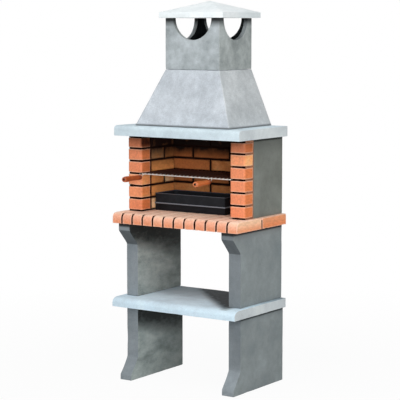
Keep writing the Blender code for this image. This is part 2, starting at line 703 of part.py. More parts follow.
def make_grill(group, tools, carrier) -> None:
    """The wire grill: a welded frame, its grid, and the hairpin and tang of each handle."""
    side = grill_side_x()
    front = FIREBOX_FRONT_DEPTH - FRAME_WIRE / 2
    back = front - GRILL_DEPTH + FRAME_WIRE
    level = grill_level()
    grid_level = level + (FRAME_WIRE + GRID_WIRE) / 2 - WELD_SINK
    frame = bmesh.new()
    for index in range(GRILL_CROSS_WIRES):
        depth = front + (back - front) * index / (GRILL_CROSS_WIRES - 1)
        add_rod(frame, Vector((-side, y_at(depth), level)), Vector((side, y_at(depth), level)), FRAME_WIRE)
    place = Vector((0.0, y_at(front), level))
    bmesh.ops.translate(frame, vec=-place, verts=frame.verts)
    grill = shade_round(mesh_object("grill_grid", frame, place, group))
    grid = bmesh.new()
    corner = FRAME_WIRE / 2 + WELD_SINK
    for x in (-side, side):
        add_rod(grid, Vector((x, y_at(front + corner), level)), Vector((x, y_at(back - corner), level)),
                FRAME_WIRE, HALF_FACET)
    edge = GRID_WIRE / 2
    for x in grid_wire_places():
        add_rod(grid, Vector((x, y_at(front + edge), grid_level)),
                Vector((x, y_at(back - edge), grid_level)), GRID_WIRE)
    wires = shade_round(mesh_object("grill_wires", grid, Vector(), tools))
    combine(grill, cutter(wires), "UNION")
    add_shank(grill, LEFT_HANDLE_X, 0.0, front, "left", tools)
    add_shank(grill, RIGHT_HANDLE_X, RIGHT_HANDLE_YAW, front, "right", tools)
    finish(grill, ZINC, 0.35, 1.0)
    attach(grill, carrier)


def handle_level() -> float:
    """Height of the handles' axis, a little below the grill."""
    return grill_level() - HANDLE_DROP


def bent_wire(name: str, points: list, diameter: float, group) -> bpy.types.Object:
    """A bent wire along the given points, as a closed mesh."""
    path = bpy.data.curves.new(name, "CURVE")
    path.dimensions = "3D"
    path.bevel_depth = diameter / 2
    path.bevel_resolution = BENT_WIRE_RESOLUTION
    path.use_fill_caps = True
    spline = path.splines.new("POLY")
    spline.points.add(len(points) - 1)
    for slot, point in zip(spline.points, points):
        slot.co = (*point, 1.0)
    curve = bpy.data.objects.new(name + "_path", path)
    group.objects.link(curve)
    bpy.context.view_layer.update()
    graph = bpy.context.evaluated_depsgraph_get()
    mesh = bpy.data.meshes.new_from_object(curve.evaluated_get(graph))
    shape = bmesh.new()
    shape.from_mesh(mesh)
    bmesh.ops.remove_doubles(shape, verts=shape.verts, dist=MERGE_DISTANCE)
    shape.to_mesh(mesh)
    shape.free()
    wire = bpy.data.objects.new(name, mesh)
    wire.matrix_world = curve.matrix_world
    group.objects.link(wire)
    bpy.data.objects.remove(curve)
    return wire


def shank_point(x: float, yaw: float, reach: float) -> Vector:
    """A point on a handle's axis, at a distance from the tip of its hairpin."""
    return Vector((x + reach * math.sin(yaw), y_at(HAIRPIN_DEPTH) - reach * math.cos(yaw), handle_level()))


def add_shank(grill, x: float, yaw: float, front: float, label: str, tools) -> None:
    """Join a hairpin that hangs from the front wire, and the tang and nut that carry a handle."""
    level = grill_level()
    arms = []
    for way in (-1, 1):
        wide, narrow = x + way * HAIRPIN_WIDTH / 2, x + way * HAIRPIN_APEX_WIDTH / 2
        arm = [(wide, y_at(front), level), (wide, y_at(HAIRPIN_DEPTH), level),
               (narrow, y_at(HAIRPIN_DEPTH), handle_level())]
        arms.append([Vector(point) for point in arm])
    hairpin = bent_wire(f"{label}_hairpin", arms[0] + arms[1][::-1], GRID_WIRE, tools)
    combine(grill, cutter(hairpin), "UNION")
    socket = NOSE_REACH - HANDLE_SOCKET_DEPTH
    rods = {"tang": (0.0, socket, TANG_WIRE), "nut": (GRID_WIRE / 2, NUT_REACH, NUT_WIDTH)}
    for part, (near, far, width) in rods.items():
        shape = bmesh.new()
        add_rod(shape, shank_point(x, yaw, near), shank_point(x, yaw, far), width, HALF_FACET)
        rod = shade_round(mesh_object(f"{label}_{part}", shape, Vector(), tools))
        combine(grill, cutter(rod), "UNION")


def handle_profile() -> list:
    """Closed (radius, length) outline of a handle from its neck to its drilled nose."""
    bore = TANG_WIRE / 2 + SEAT_GAP
    waist = HANDLE_LENGTH * WAIST_SHARE
    bulb = HANDLE_LENGTH * BULB_SHARE
    outer = [(HANDLE_SOCKET_RADIUS, 0.0), (HANDLE_NECK_RADIUS, HANDLE_NECK_LENGTH)]
    for step in range(1, CURVE_STEPS + 1):
        share = step / CURVE_STEPS
        radius = HANDLE_NECK_RADIUS + (HANDLE_WAIST_RADIUS - HANDLE_NECK_RADIUS) * ease(share)
        outer.append((radius, HANDLE_NECK_LENGTH + (waist - HANDLE_NECK_LENGTH) * share))
    for step in range(1, CURVE_STEPS + 1):
        share = step / CURVE_STEPS
        radius = HANDLE_WAIST_RADIUS + (HANDLE_BULB_RADIUS - HANDLE_WAIST_RADIUS) * ease(share)
        outer.append((radius, waist + (bulb - waist) * share))
    nose = HANDLE_LENGTH - bulb
    for step in range(1, CURVE_STEPS + 1):
        angle = math.pi / 2 * step / CURVE_STEPS
        radius = HANDLE_NOSE_RADIUS + (HANDLE_BULB_RADIUS - HANDLE_NOSE_RADIUS) * math.cos(angle)
        outer.append((radius, bulb + nose * math.sin(angle)))
    socket = HANDLE_LENGTH - HANDLE_SOCKET_DEPTH
    inner = [(HANDLE_SOCKET_RADIUS, HANDLE_LENGTH), (HANDLE_SOCKET_RADIUS, socket), (bore, socket)]
    return outer + inner + [(bore, 0.0)]


def make_handle(x: float, yaw: float, label: str, group, carrier) -> None:
    """A turned wooden handle with a drilled nose, threaded on its tang."""
    profile = bmesh.new()
    points = [profile.verts.new((radius, 0.0, -length)) for radius, length in handle_profile()]
    for first, second in zip(points, points[1:] + points[:1]):
        profile.edges.new((first, second))
    mesh = bpy.data.meshes.new(f"{label}_handle")
    profile.to_mesh(mesh)
    profile.free()
    handle = bpy.data.objects.new(f"{label}_handle", mesh)
    handle.location = shank_point(x, yaw, NECK_REACH)
    handle.rotation_euler = (-math.pi / 2, 0.0, yaw)
    group.objects.link(handle)
    screw = handle.modifiers.new("turning", "SCREW")
    screw.axis = "Z"
    screw.angle = 2 * math.pi
    screw.steps = TURNED_STEPS
    screw.render_steps = TURNED_STEPS
    screw.use_merge_vertices = True
    screw.merge_threshold = MERGE_DISTANCE
    screw.use_smooth_shade = True
    finish(handle, WOOD, 0.5)
    attach(handle, carrier)


def open_box(name: str, x: tuple, depth: tuple, z: tuple, group, tools) -> tuple:
    """The outside of a sheet box that is open at the top, and the cutter for its inside."""
    box = block(name, x, depth, z, group)
    inside_x = (x[0] + SHEET, x[1] - SHEET)
    inside = block(name + "_inside", inside_x, (depth[0] + SHEET, depth[1] - SHEET),
                   (z[0] + SHEET, z[1] + CUT_OVERRUN), tools)
    return box, cutter(inside)


def pan_footprint() -> tuple:
    """X and depth limits of the ash pan's body, pushed into the back left corner."""
    left = -INNER_HALF_WIDTH + PAN_SIDE_CLEARANCE + PAN_RIM_REACH
    back = BACK_LINING_FACE_DEPTH + PAN_BACK_CLEARANCE + PAN_RIM_REACH
    return (left, left + PAN_WIDTH), (back, back + PAN_DEPTH)


def make_ash_pan(group, tools, carrier) -> None:
    """The ash pan: a shallow sheet box with a rolled rim."""
    x, depth = pan_footprint()
    bottom = LEDGE_TOP + SEAT_GAP
    top = bottom + PAN_HEIGHT
    pan, inside = open_box("ash_pan", x, depth, (bottom, top), group, tools)
    centre, size = span(
        grown(x, PAN_RIM_REACH), grown(depth, PAN_RIM_REACH), (top - PAN_RIM_HEIGHT, top))
    shape = cube_shape(size)
    round_edges(shape, list(shape.edges), PAN_RIM_REACH / 2, 2)
    rim = cutter(shade_round(mesh_object("ash_pan_rim", shape, centre, tools)))
    combine(pan, rim, "UNION")
    combine(pan, inside, "DIFFERENCE")
    finish(pan, BLACK_STEEL, 0.45, 0.6)
    attach(pan, carrier)


def make_charcoal_tray(group, tools, carrier) -> None:
    """The charcoal tray: a slotted sheet box that stands on the pan's rim and steps down into it."""
    pan_x, pan_depth = pan_footprint()
    x = grown(pan_x, -(SHEET + TRAY_CLEARANCE))
    depth = grown(pan_depth, -(SHEET + TRAY_CLEARANCE))
    floor = LEDGE_TOP + TRAY_FLOOR_HEIGHT
    rest = LEDGE_TOP + 2 * SEAT_GAP + PAN_HEIGHT
    top = LEDGE_TOP + TRAY_TOP_HEIGHT
    tray, inside = open_box("charcoal_tray", x, depth, (floor, rest + SHEET), group, tools)
    upper, upper_inside = open_box("tray_upper", pan_x, pan_depth, (rest, top), tools, tools)
    lip = block("tray_lip", grown(pan_x, TRAY_LIP_REACH), grown(pan_depth, TRAY_LIP_REACH),
                (top - TRAY_LIP_HEIGHT, top), tools)
    combine(tray, cutter(upper), "UNION")
    combine(tray, cutter(lip), "UNION")
    combine(tray, upper_inside, "DIFFERENCE")
    combine(tray, inside, "DIFFERENCE")
    middle = sum(depth) / 2
    for slot in range(SLOT_COUNT):
        centre = x[0] + (x[1] - x[0]) * (slot + 1) / (SLOT_COUNT + 1)
        tool = block(f"tray_slot_{slot + 1}", (centre - SLOT_WIDTH / 2, centre + SLOT_WIDTH / 2),
                     (middle - SLOT_LENGTH / 2, middle + SLOT_LENGTH / 2),
                     (floor - CUT_OVERRUN, floor + CUT_OVERRUN), tools)
        combine(tray, cutter(tool), "DIFFERENCE")
    finish(tray, BLACK_STEEL, 0.5, 0.5)
    attach(tray, carrier)


def world_place(item: bpy.types.Object) -> Vector:
    """World location of an object whose parents are unturned."""
    above = world_place(item.parent) if item.parent else Vector()
    return above + item.location


def attach(item: bpy.types.Object, carrier: bpy.types.Object) -> None:
    """Hang an object on a carrier where it stands."""
    item.location -= world_place(carrier)
    item.parent = carrier


def make_carrier(name: str, place: Vector, parent=None) -> bpy.types.Object:
    """An empty that carries one moving body along its slide."""
    carrier = bpy.data.objects.new(name, None)
    carrier.location = place
    bpy.context.scene.collection.objects.link(carrier)
    if parent:
        attach(carrier, parent)
    return carrier


def pan_middle(level: float) -> Vector:
    """The middle of the ash pan's footprint at a height."""
    x, depth = pan_footprint()
    return Vector((sum(x) / 2, y_at(sum(depth) / 2), level))


def main() -> None:
    """Build the whole barbecue."""
    clear_scene()
    group = new_collection("outdoor_masonry_barbecue")
    tools = new_collection("cutters")
    leg_x = (LEG_SPREAD - LEG_THICKNESS) / 2
    for side, label in ((-1, "left"), (1, "right")):
        make_lower_leg(f"{label}_lower_leg", side * leg_x, group)
        make_upper_leg(f"{label}_upper_leg", side * leg_x, group)
    make_shelf(group)
    make_ledge(group, tools)
    for side, label in ((-1, "left"), (1, "right")):
        make_pillar(side, label, group)
        make_side_lining(side, label, group, tools)
    make_back_lining(group, tools)
    make_panels(group)
    make_lintel(group, tools)
    make_hood(group, tools)
    make_stack(group, tools)
    make_cap(group)
    grill_slide = make_carrier("grill_slide", Vector((0.0, y_at(FIREBOX_FRONT_DEPTH), grill_level())))
    make_grill(group, tools, grill_slide)
    make_handle(LEFT_HANDLE_X, 0.0, "left", group, grill_slide)
    make_handle(RIGHT_HANDLE_X, RIGHT_HANDLE_YAW, "right", group, grill_slide)
    pan_slide = make_carrier("ash_pan_slide", pan_middle(LEDGE_TOP))
    make_ash_pan(group, tools, pan_slide)
    tray_lift = make_carrier("charcoal_tray_lift", pan_middle(LEDGE_TOP + PAN_HEIGHT), pan_slide)
    make_charcoal_tray(group, tools, tray_lift)


main()
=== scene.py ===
"""Outdoor masonry barbecue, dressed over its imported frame.

Cast concrete legs, slabs and chimney, a firebox and ledge of fired brick, a galvanised wire grill
on two turned handles, and two enamelled steel trays. The cook stands on the -Y side. Lengths are
in metres unless a name ends in `mm`.
"""

import logging
import math
from collections.abc import Callable
from dataclasses import dataclass
from enum import Enum
from functools import cache
from itertools import pairwise, product

import bmesh
import bpy
from bmesh.types import BMEdge, BMesh
from bpy.types import Material, Node, NodeSocket, NodeTree
from mathutils import Matrix, Vector, noise
from mathutils.kdtree import KDTree


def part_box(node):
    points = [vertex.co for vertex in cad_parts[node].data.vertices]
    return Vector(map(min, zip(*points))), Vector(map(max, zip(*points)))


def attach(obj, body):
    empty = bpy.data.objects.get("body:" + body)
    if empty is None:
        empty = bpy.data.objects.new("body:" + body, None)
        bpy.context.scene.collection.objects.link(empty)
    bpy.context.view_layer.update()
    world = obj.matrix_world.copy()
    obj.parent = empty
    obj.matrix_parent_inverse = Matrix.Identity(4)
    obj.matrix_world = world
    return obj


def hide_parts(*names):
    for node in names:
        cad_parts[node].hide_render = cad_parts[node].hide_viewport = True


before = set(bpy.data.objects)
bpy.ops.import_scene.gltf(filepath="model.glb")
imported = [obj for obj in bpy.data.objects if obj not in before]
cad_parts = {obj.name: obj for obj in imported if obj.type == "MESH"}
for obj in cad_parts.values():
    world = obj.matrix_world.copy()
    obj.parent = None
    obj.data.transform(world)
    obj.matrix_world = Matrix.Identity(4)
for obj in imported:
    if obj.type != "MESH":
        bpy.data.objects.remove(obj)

LOG = logging.getLogger("barbecue")

MM_PER_METRE = 1000.0
Z_AXIS = 2
MERGE_DISTANCE = 0.0001
SEAT_GAP = 0.0003
FACE_TOLERANCE = 0.002
EDGE_SAMPLE = 0.002

# Faces that bend less are one face, edges that bend more are worn, and more still is shaded sharp.
FLAT_ANGLE = math.radians(0.5)
SHARP_ANGLE = math.radians(35)
CORNER_ANGLE = math.radians(50)

# Part of a normal along an axis from which a face looks mostly that way, and squarely that way.
LEVEL_NORMAL = 0.7
FLAT_NORMAL = 0.95

# Values between which nearly all of a noise texture lies.
NOISE_SPAN = (0.3, 0.7)

# Shifts and steps that keep the chips apart from the ripple, and each brick in its own noise cell.
CHIP_OFFSET = Vector((7.0, 3.0, 5.0))
CELL_STEP = 7.31
CELL_MIDDLE = Vector((0.5, 0.5, 0.5))

Rule = Callable[[Vector, Vector], float]
Colour = tuple[float, float, float, float]


class Side(Enum):
    """The two sides of the barbecue, seen by the cook."""

    LEFT = -1
    RIGHT = 1

    @property
    def label(self) -> str:
        """The side's name, as the nodes' names start."""
        return self.name.lower()


def srgb(code: str) -> Colour:
    """Linear RGBA of an sRGB hex colour.

    Args:
        code: Hex colour such as "#C9D6DC".

    Returns:
        The linear colour with an alpha of 1.
    """
    channels = [int(code[i:i + 2], 16) / 255 for i in (1, 3, 5)]
    linear = [c / 12.92 if c <= 0.04045 else ((c + 0.055) / 1.055) ** 2.4 for c in channels]
    return (*linear, 1.0)


def tint_ratio(wanted: str, base: str) -> Colour:
    """The linear factor that turns one colour into another.

    Args:
        wanted: Hex colour to arrive at.
        base: Hex colour to start from.

    Returns:
        One factor per channel, and an alpha of 1.
    """
    pairs = zip(srgb(wanted)[:3], srgb(base)[:3])
    return (*(w / b for w, b in pairs), 1.0)


@cache
def box_of(node: str) -> tuple[Vector, Vector]:
    """A CAD node's lowest and highest corner at rest, measured once."""
    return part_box(node)


def mixed(first: float, second: float, share: float) -> float:
    """The value at a share of the way from the first to the second."""
    return first + (second - first) * share


def clamped(value: float) -> float:
    """A value kept between 0 and 1."""
    return min(1.0, max(0.0, value))


def fade(value: float, full: float, clear: float) -> float:
    """1 where a value is at or past `full`, 0 at or past `clear`, and even between them."""
    return clamped((value - clear) / (full - clear))


def shade_fade(value: float, full: float, clear: float) -> float:
    """Like `fade`, but steep near `clear`, so that painted shade on pale concrete darkens evenly.
    """
    return 1.0 - (1.0 - fade(value, full, clear)) ** 2


def per_metre(size_mm: float) -> float:
    """Texture scale at which a pattern repeats about every `size_mm` millimetres."""
    return MM_PER_METRE / size_mm


def feed(tree: NodeTree, node: Node, inputs: dict) -> None:
    """Set or link a node's inputs.

    Args:
        tree: Tree that holds the node.
        node: Node that takes the inputs.
        inputs: Socket names or numbers, each with a value, the socket that feeds it, or the node
            whose first output does.
    """
    for name, value in inputs.items():
        source = value.outputs[0] if isinstance(value, Node) else value
        if isinstance(source, NodeSocket):
            tree.links.new(source, node.inputs[name])
        else:
            node.inputs[name].default_value = source


def add_node(tree: NodeTree, kind: str, inputs: dict | None = None, stops: tuple = (),
             **settings: object) -> Node:
    """Add a node with its settings, its inputs and its colour stops.

    Args:
        tree: Tree that takes the node.
        kind: Blender's name of the node type.
        inputs: What `feed` sets or links.
        stops: Pairs of position and linear colour for a colour ramp.
        **settings: Properties of the node.

    Returns:
        The new node.
    """
    node = tree.nodes.new(kind)
    for name, value in settings.items():
        setattr(node, name, value)
    feed(tree, node, inputs or {})
    if stops:
        ramp = node.color_ramp
        for _ in range(len(stops) - len(ramp.elements)):
            ramp.elements.new(0.5)
        for element, (position, colour) in zip(ramp.elements, stops):
            element.position = position
            element.color = colour
    return node


def shaded(tree: NodeTree, colour: Node, pattern: Node, darkest: float, palest: float,
           span: tuple[float, float] = NOISE_SPAN) -> Node:
    """Darken and lighten a colour by a pattern.

    Args:
        tree: Tree of the material.
        colour: Node that gives the colour.
        pattern: Node that gives the pattern.
        darkest: Factor at the low end of the span.
        palest: Factor at its high end.
        span: Values between which nearly all of the pattern lies.

    Returns:
        The node that gives the new colour.
    """
    factor = add_node(tree, "ShaderNodeMapRange", {
        "Value": pattern, "From Min": span[0], "From Max": span[1],
        "To Min": darkest, "To Max": palest})
    return add_node(tree, "ShaderNodeMixRGB", {
        "Fac": 1.0, "Color1": colour, "Color2": factor}, blend_type="MULTIPLY")


def laid_over(tree: NodeTree, colour: Node | Colour, tint: str, value: NodeSocket,
              clear: float, full: float, share: float = 1.0) -> Node:
    """Mix a tint over a colour, the more the further a value has gone.

    Args:
        tree: Tree of the material.
        colour: The colour, or the node that gives it.
        tint: Hex colour that is laid over it.
        value: Socket of the value.
        clear: Value at which the tint starts.
        full: Value from which it has its whole share.
        share: The whole share.

    Returns:
        The node that gives the new colour.
    """
    amount = add_node(tree, "ShaderNodeMapRange", {
        "Value": value, "From Min": clear, "From Max": full, "To Min": 0.0, "To Max": share})
    return add_node(tree, "ShaderNodeMixRGB", {
        "Fac": amount, "Color1": colour, "Color2": srgb(tint)})


def stained(tree: NodeTree, colour: Node, patches: Node, thin: float, thick: float,
            shade_colour: str) -> Node:
    """Mix painted shade over a colour where the piece's attribute for it says.

    Args:
        tree: Tree of the material.
        colour: Node that gives the colour.
        patches: Noise that makes the painted shade uneven.
        thin: Factor on the painted shade where the noise is low.
        thick: Factor where it is high.
        shade_colour: Hex colour of the painted shade.

    Returns:
        The node that gives the new colour.
    """
    stain = add_node(tree, "ShaderNodeAttribute", attribute_name="stain").outputs["Fac"]
    ragged = add_node(tree, "ShaderNodeMapRange", {
        "Value": patches, "From Min": NOISE_SPAN[0], "From Max": NOISE_SPAN[1],
        "To Min": thin, "To Max": thick})
    share = add_node(tree, "ShaderNodeMath", {
        0: stain, 1: ragged}, operation="MULTIPLY", use_clamp=True)
    return add_node(tree, "ShaderNodeMixRGB", {
        "Fac": share, "Color1": colour, "Color2": srgb(shade_colour)})


def new_material(name: str) -> tuple[Material, NodeTree, Node, NodeSocket]:
    """Make a node material.

    Args:
        name: Name of the material.

    Returns:
        The material, its tree, its Principled shader and its Object coordinates.
    """
    material = bpy.data.materials.new(name)
    material.use_nodes = True
    tree = material.node_tree
    place = add_node(tree, "ShaderNodeTexCoord").outputs["Object"]
    return material, tree, tree.nodes["Principled BSDF"], place


@dataclass(frozen=True)
class Finish:
    """What all finishes share: a name, and a pattern that lies on Object coordinates."""

    name: str

    def pattern(self, tree: NodeTree, place: NodeSocket) -> dict:
        """Lay the finish's pattern.

        Args:
            tree: Tree of the material.
            place: Object coordinates.

        Returns:
            What the shader's inputs are fed with.
        """
        raise NotImplementedError

    def make(self) -> Material:
        """Build the material.

        Returns:
            The material, with its pattern fed into its shader.
        """
        material, tree, shader, place = new_material(self.name)
        feed(tree, shader, self.pattern(tree, place))
        return material


@dataclass(frozen=True)
class CastConcrete(Finish):
    """Cast concrete, left as it came from the mould.

    Cement paste lies in soft clouds, sand shows as a fine speckle, and air left small round pits.
    It is dull. Faces that look along X are painted a darker, greyer tone, as shade on the flanks.
    Painted shade also lies where the piece's attribute for it says. The sand is really finer than
    2 mm and is drawn coarser, so that it shows.
    """

    body: str
    cloud: str
    bloom: str
    flank_shade: str
    shade_paint: str
    drawn: tuple[float, float, float] = (1.0, 1.0, 1.0)
    cloud_mm: float = 150.0
    mottle: float = 0.10
    mottle_mm: float = 26.0
    speckle: float = 0.06
    speckle_mm: float = 5.0
    pit_share: float = 0.30
    pit_mm: float = 17.0
    pit_floor: float = 0.07
    pit_rim: float = 0.13
    pit_shade: float = 0.55
    thin_shade: float = 0.93
    thick_shade: float = 1.12
    relief_mm: float = 0.8
    roughness: float = 0.9

    def pattern(self, tree: NodeTree, place: NodeSocket) -> dict:
        """Lay the clouds, the sand, the pits and the grime.

        Args:
            tree: Tree of the material.
            place: Object coordinates.

        Returns:
            What the shader's inputs are fed with.
        """
        drawn = add_node(tree, "ShaderNodeMapping", {"Vector": place, "Scale": self.drawn})
        clouds = add_node(tree, "ShaderNodeTexNoise", {
            "Vector": drawn, "Scale": per_metre(self.cloud_mm), "Detail": 6.0, "Roughness": 0.62})
        tint = add_node(tree, "ShaderNodeValToRGB", {"Fac": clouds}, (
            (0.34, srgb(self.cloud)), (0.5, srgb(self.body)), (0.68, srgb(self.bloom))))
        mottle = add_node(tree, "ShaderNodeTexNoise", {
            "Vector": drawn, "Scale": per_metre(self.mottle_mm), "Detail": 4.0, "Roughness": 0.6})
        sand = add_node(tree, "ShaderNodeTexNoise", {
            "Vector": place, "Scale": per_metre(self.speckle_mm), "Detail": 2.0})
        cells = add_node(tree, "ShaderNodeTexVoronoi", {
            "Vector": place, "Scale": per_metre(self.pit_mm)})
        hollow = add_node(tree, "ShaderNodeMapRange", {
            "Value": cells.outputs["Distance"], "From Min": self.pit_floor,
            "From Max": self.pit_rim, "To Min": 1.0, "To Max": 0.0})
        chosen = add_node(tree, "ShaderNodeMath", {
            0: cells.outputs["Color"], 1: 1 - self.pit_share}, operation="GREATER_THAN")
        pit = add_node(tree, "ShaderNodeMath", {0: hollow, 1: chosen}, operation="MULTIPLY")
        # painted shade: faces that look along X, the flanks, are multiplied towards the flank
        # colour
        facing = add_node(tree, "ShaderNodeSeparateXYZ", {
            "Vector": add_node(tree, "ShaderNodeNewGeometry").outputs["Normal"]})
        sideways_shade = add_node(tree, "ShaderNodeMath", {0: facing.outputs["X"]}, operation="ABSOLUTE")
        colour = add_node(tree, "ShaderNodeMixRGB", {
            "Fac": sideways_shade, "Color1": tint, "Color2": tint_ratio(self.flank_shade, self.body)},
            blend_type="MULTIPLY")
        colour = shaded(tree, colour, mottle, 1 - self.mottle, 1 + self.mottle)
        colour = shaded(tree, colour, sand, 1 - self.speckle, 1 + self.speckle)
        shade = add_node(tree, "ShaderNodeMath", {0: pit, 1: self.pit_shade}, operation="MULTIPLY")
        colour = add_node(tree, "ShaderNodeMixRGB", {
            "Fac": shade, "Color1": colour, "Color2": srgb(self.cloud)}, blend_type="MULTIPLY")
        # painted shade, as much as the piece's attribute says, made uneven by the mottle
        colour = stained(tree, colour, mottle, self.thin_shade, self.thick_shade, self.shade_paint)
        rise = add_node(tree, "ShaderNodeMath", {0: mottle, 1: sand}, operation="ADD")
        height = add_node(tree, "ShaderNodeMath", {0: rise, 1: pit}, operation="SUBTRACT")
        bump = add_node(tree, "ShaderNodeBump", {
            "Strength": 0.7, "Distance": self.relief_mm / MM_PER_METRE, "Height": height})
        return {"Base Color": colour, "Normal": bump, "Roughness": self.roughness}


@dataclass(frozen=True)
class Soot(Finish):
    """Painted shade inside the flue: a dead black film, a little browner where it is thin."""

    thick: str
    thin: str
    patch_mm: float = 60.0
    relief: float = 0.0006

    def pattern(self, tree: NodeTree, place: NodeSocket) -> dict:
        """Lay the painted shade's patches.

        Args:
            tree: Tree of the material.
            place: Object coordinates.

        Returns:
            What the shader's inputs are fed with.
        """
        patches = add_node(tree, "ShaderNodeTexNoise", {
            "Vector": place, "Scale": per_metre(self.patch_mm), "Detail": 6.0})
        tint = add_node(tree, "ShaderNodeValToRGB", {"Fac": patches}, (
            (0.38, srgb(self.thick)), (0.66, srgb(self.thin))))
        bump = add_node(tree, "ShaderNodeBump", {
            "Strength": 0.5, "Distance": self.relief, "Height": patches})
        return {"Base Color": tint, "Normal": bump, "Roughness": 0.96, "Specular IOR Level": 0.1}


@dataclass(frozen=True)
class FiredBrick(Finish):
    """Fired clay brick: dry, matt and sandy, each one fired to its own tone.

    The faces turned to the cook are painted pinker than the flanks and the tops paler: painted
    light for how the light falls on them. The arrises are painted paler on the ledge and pillars,
    a painted highlight on their rounded edges, and darker in the lining, painted shade that widens
    the raked joints. Painted shade browns it where its attribute says, and the brick's `tone` and
    `edge` attributes give its firing and its arrises. The grit is really finer than 1 mm and is
    drawn coarser, so that it shows.
    """

    light: str
    body: str
    deep: str
    front: str
    front_share: float
    arris: str
    arris_share: float
    smoke: str = "#3A1608"
    front_from: float = 0.25
    top: str = "#FFFFFF"
    top_share: float = 0.0
    top_from: float = 0.55
    foot: str = "#FFFFFF"
    foot_share: float = 0.0
    foot_low: float = 0.0
    foot_high: float = 1.0
    patch_mm: float = 55.0
    patch_shift: float = 0.28
    drag_mm: float = 9.0
    drag_drawn: tuple[float, float, float] = (1.0, 0.35, 1.0)
    streak: float = 0.16
    grit_mm: float = 4.0
    relief: float = 0.0010
    arris_core: float = 0.0015
    arris_reach: float = 0.0060
    thin_shadow: float = 0.9
    thick_shadow: float = 1.2

    def pattern(self, tree: NodeTree, place: NodeSocket) -> dict:
        """Lay the firing, the drag marks, the arrises and the painted light and shade.

        Args:
            tree: Tree of the material.
            place: Object coordinates.

        Returns:
            What the shader's inputs are fed with.
        """
        tone = add_node(tree, "ShaderNodeAttribute", attribute_name="tone").outputs["Fac"]
        edge = add_node(tree, "ShaderNodeAttribute", attribute_name="edge").outputs["Fac"]
        own = add_node(tree, "ShaderNodeVectorMath", {0: place, 1: tone}, operation="ADD")
        patches = add_node(tree, "ShaderNodeTexNoise", {
            "Vector": own, "Scale": per_metre(self.patch_mm), "Detail": 5.0, "Roughness": 0.6})
        shift = add_node(tree, "ShaderNodeMapRange", {
            "Value": patches, "From Min": NOISE_SPAN[0], "From Max": NOISE_SPAN[1],
            "To Min": -self.patch_shift, "To Max": self.patch_shift})
        fired = add_node(tree, "ShaderNodeMath", {0: tone, 1: shift}, operation="ADD")
        colour = add_node(tree, "ShaderNodeValToRGB", {"Fac": fired}, (
            (0.08, srgb(self.deep)), (0.5, srgb(self.body)), (0.92, srgb(self.light))))
        normal = add_node(tree, "ShaderNodeNewGeometry").outputs["Normal"]
        forward = add_node(tree, "ShaderNodeVectorMath", {
            0: normal, 1: (0.0, -1.0, 0.0)}, operation="DOT_PRODUCT").outputs["Value"]
        level = add_node(tree, "ShaderNodeSeparateXYZ", {"Vector": place}).outputs["Z"]
        upward = add_node(tree, "ShaderNodeSeparateXYZ", {"Vector": normal}).outputs["Z"]
        # painted light: faces turned to the front take a pinker tint
        colour = laid_over(
            tree, colour, self.front, forward, self.front_from, FLAT_NORMAL, self.front_share)
        colour = laid_over(
            tree, colour, self.foot, level, self.foot_high, self.foot_low, self.foot_share)
        # painted light: faces that look up are paler
        colour = laid_over(
            tree, colour, self.top, upward, self.top_from, FLAT_NORMAL, self.top_share)
        drawn = add_node(tree, "ShaderNodeMapping", {"Vector": own, "Scale": self.drag_drawn})
        drag = add_node(tree, "ShaderNodeTexNoise", {
            "Vector": drawn, "Scale": per_metre(self.drag_mm), "Detail": 5.0, "Roughness": 0.65})
        colour = shaded(tree, colour, drag, 1 - self.streak, 1 + self.streak)
        # arrises: a paler colour is a painted highlight, a darker one painted shade in the joints
        colour = laid_over(
            tree, colour, self.arris, edge, self.arris_reach, self.arris_core, self.arris_share)
        # painted shade where the brick's attribute says
        colour = stained(tree, colour, patches, self.thin_shadow, self.thick_shadow, self.smoke)
        grit = add_node(tree, "ShaderNodeTexNoise", {
            "Vector": own, "Scale": per_metre(self.grit_mm), "Detail": 3.0})
        rise = add_node(tree, "ShaderNodeMath", {0: drag, 1: grit}, operation="ADD")
        bump = add_node(tree, "ShaderNodeBump", {
            "Strength": 0.8, "Distance": self.relief, "Height": rise})
        return {"Base Color": colour, "Normal": bump, "Roughness": 0.92,
                "Specular IOR Level": 0.25}


@dataclass(frozen=True)
class RakedMortar(Finish):
    """Raked mortar: coarse sand, dark in the joints and paler on faces that look up.

    Its dark colour is partly its own and partly painted shade of the raked joints. The sand is
    drawn a little coarser than it is, so that it shows.
    """

    joint: str
    facing_up: str
    top_from: float = 0.3
    sand_mm: float = 3.0
    patch_mm: float = 35.0
    relief: float = 0.0012

    def pattern(self, tree: NodeTree, place: NodeSocket) -> dict:
        """Lay the sand and the paler tops.

        Args:
            tree: Tree of the material.
            place: Object coordinates.

        Returns:
            What the shader's inputs are fed with.
        """
        facing = add_node(tree, "ShaderNodeSeparateXYZ", {
            "Vector": add_node(tree, "ShaderNodeNewGeometry").outputs["Normal"]})
        # dark joint colour, partly painted shade of the recess; paler on faces that look up
        colour = laid_over(tree, srgb(self.joint), self.facing_up, facing.outputs["Z"],
                           self.top_from, FLAT_NORMAL)
        sand = add_node(tree, "ShaderNodeTexNoise", {
            "Vector": place, "Scale": per_metre(self.sand_mm), "Detail": 4.0, "Roughness": 0.7})
        patches = add_node(tree, "ShaderNodeTexNoise", {
            "Vector": place, "Scale": per_metre(self.patch_mm), "Detail": 3.0})
        both = add_node(tree, "ShaderNodeMath", {0: sand, 1: patches}, operation="ADD")
        colour = shaded(tree, colour, both, darkest=0.7, palest=1.3, span=(0.75, 1.25))
        bump = add_node(tree, "ShaderNodeBump", {
            "Strength": 0.9, "Distance": self.relief, "Height": sand})
        return {"Base Color": colour, "Normal": bump, "Roughness": 0.97, "Specular IOR Level": 0.1}


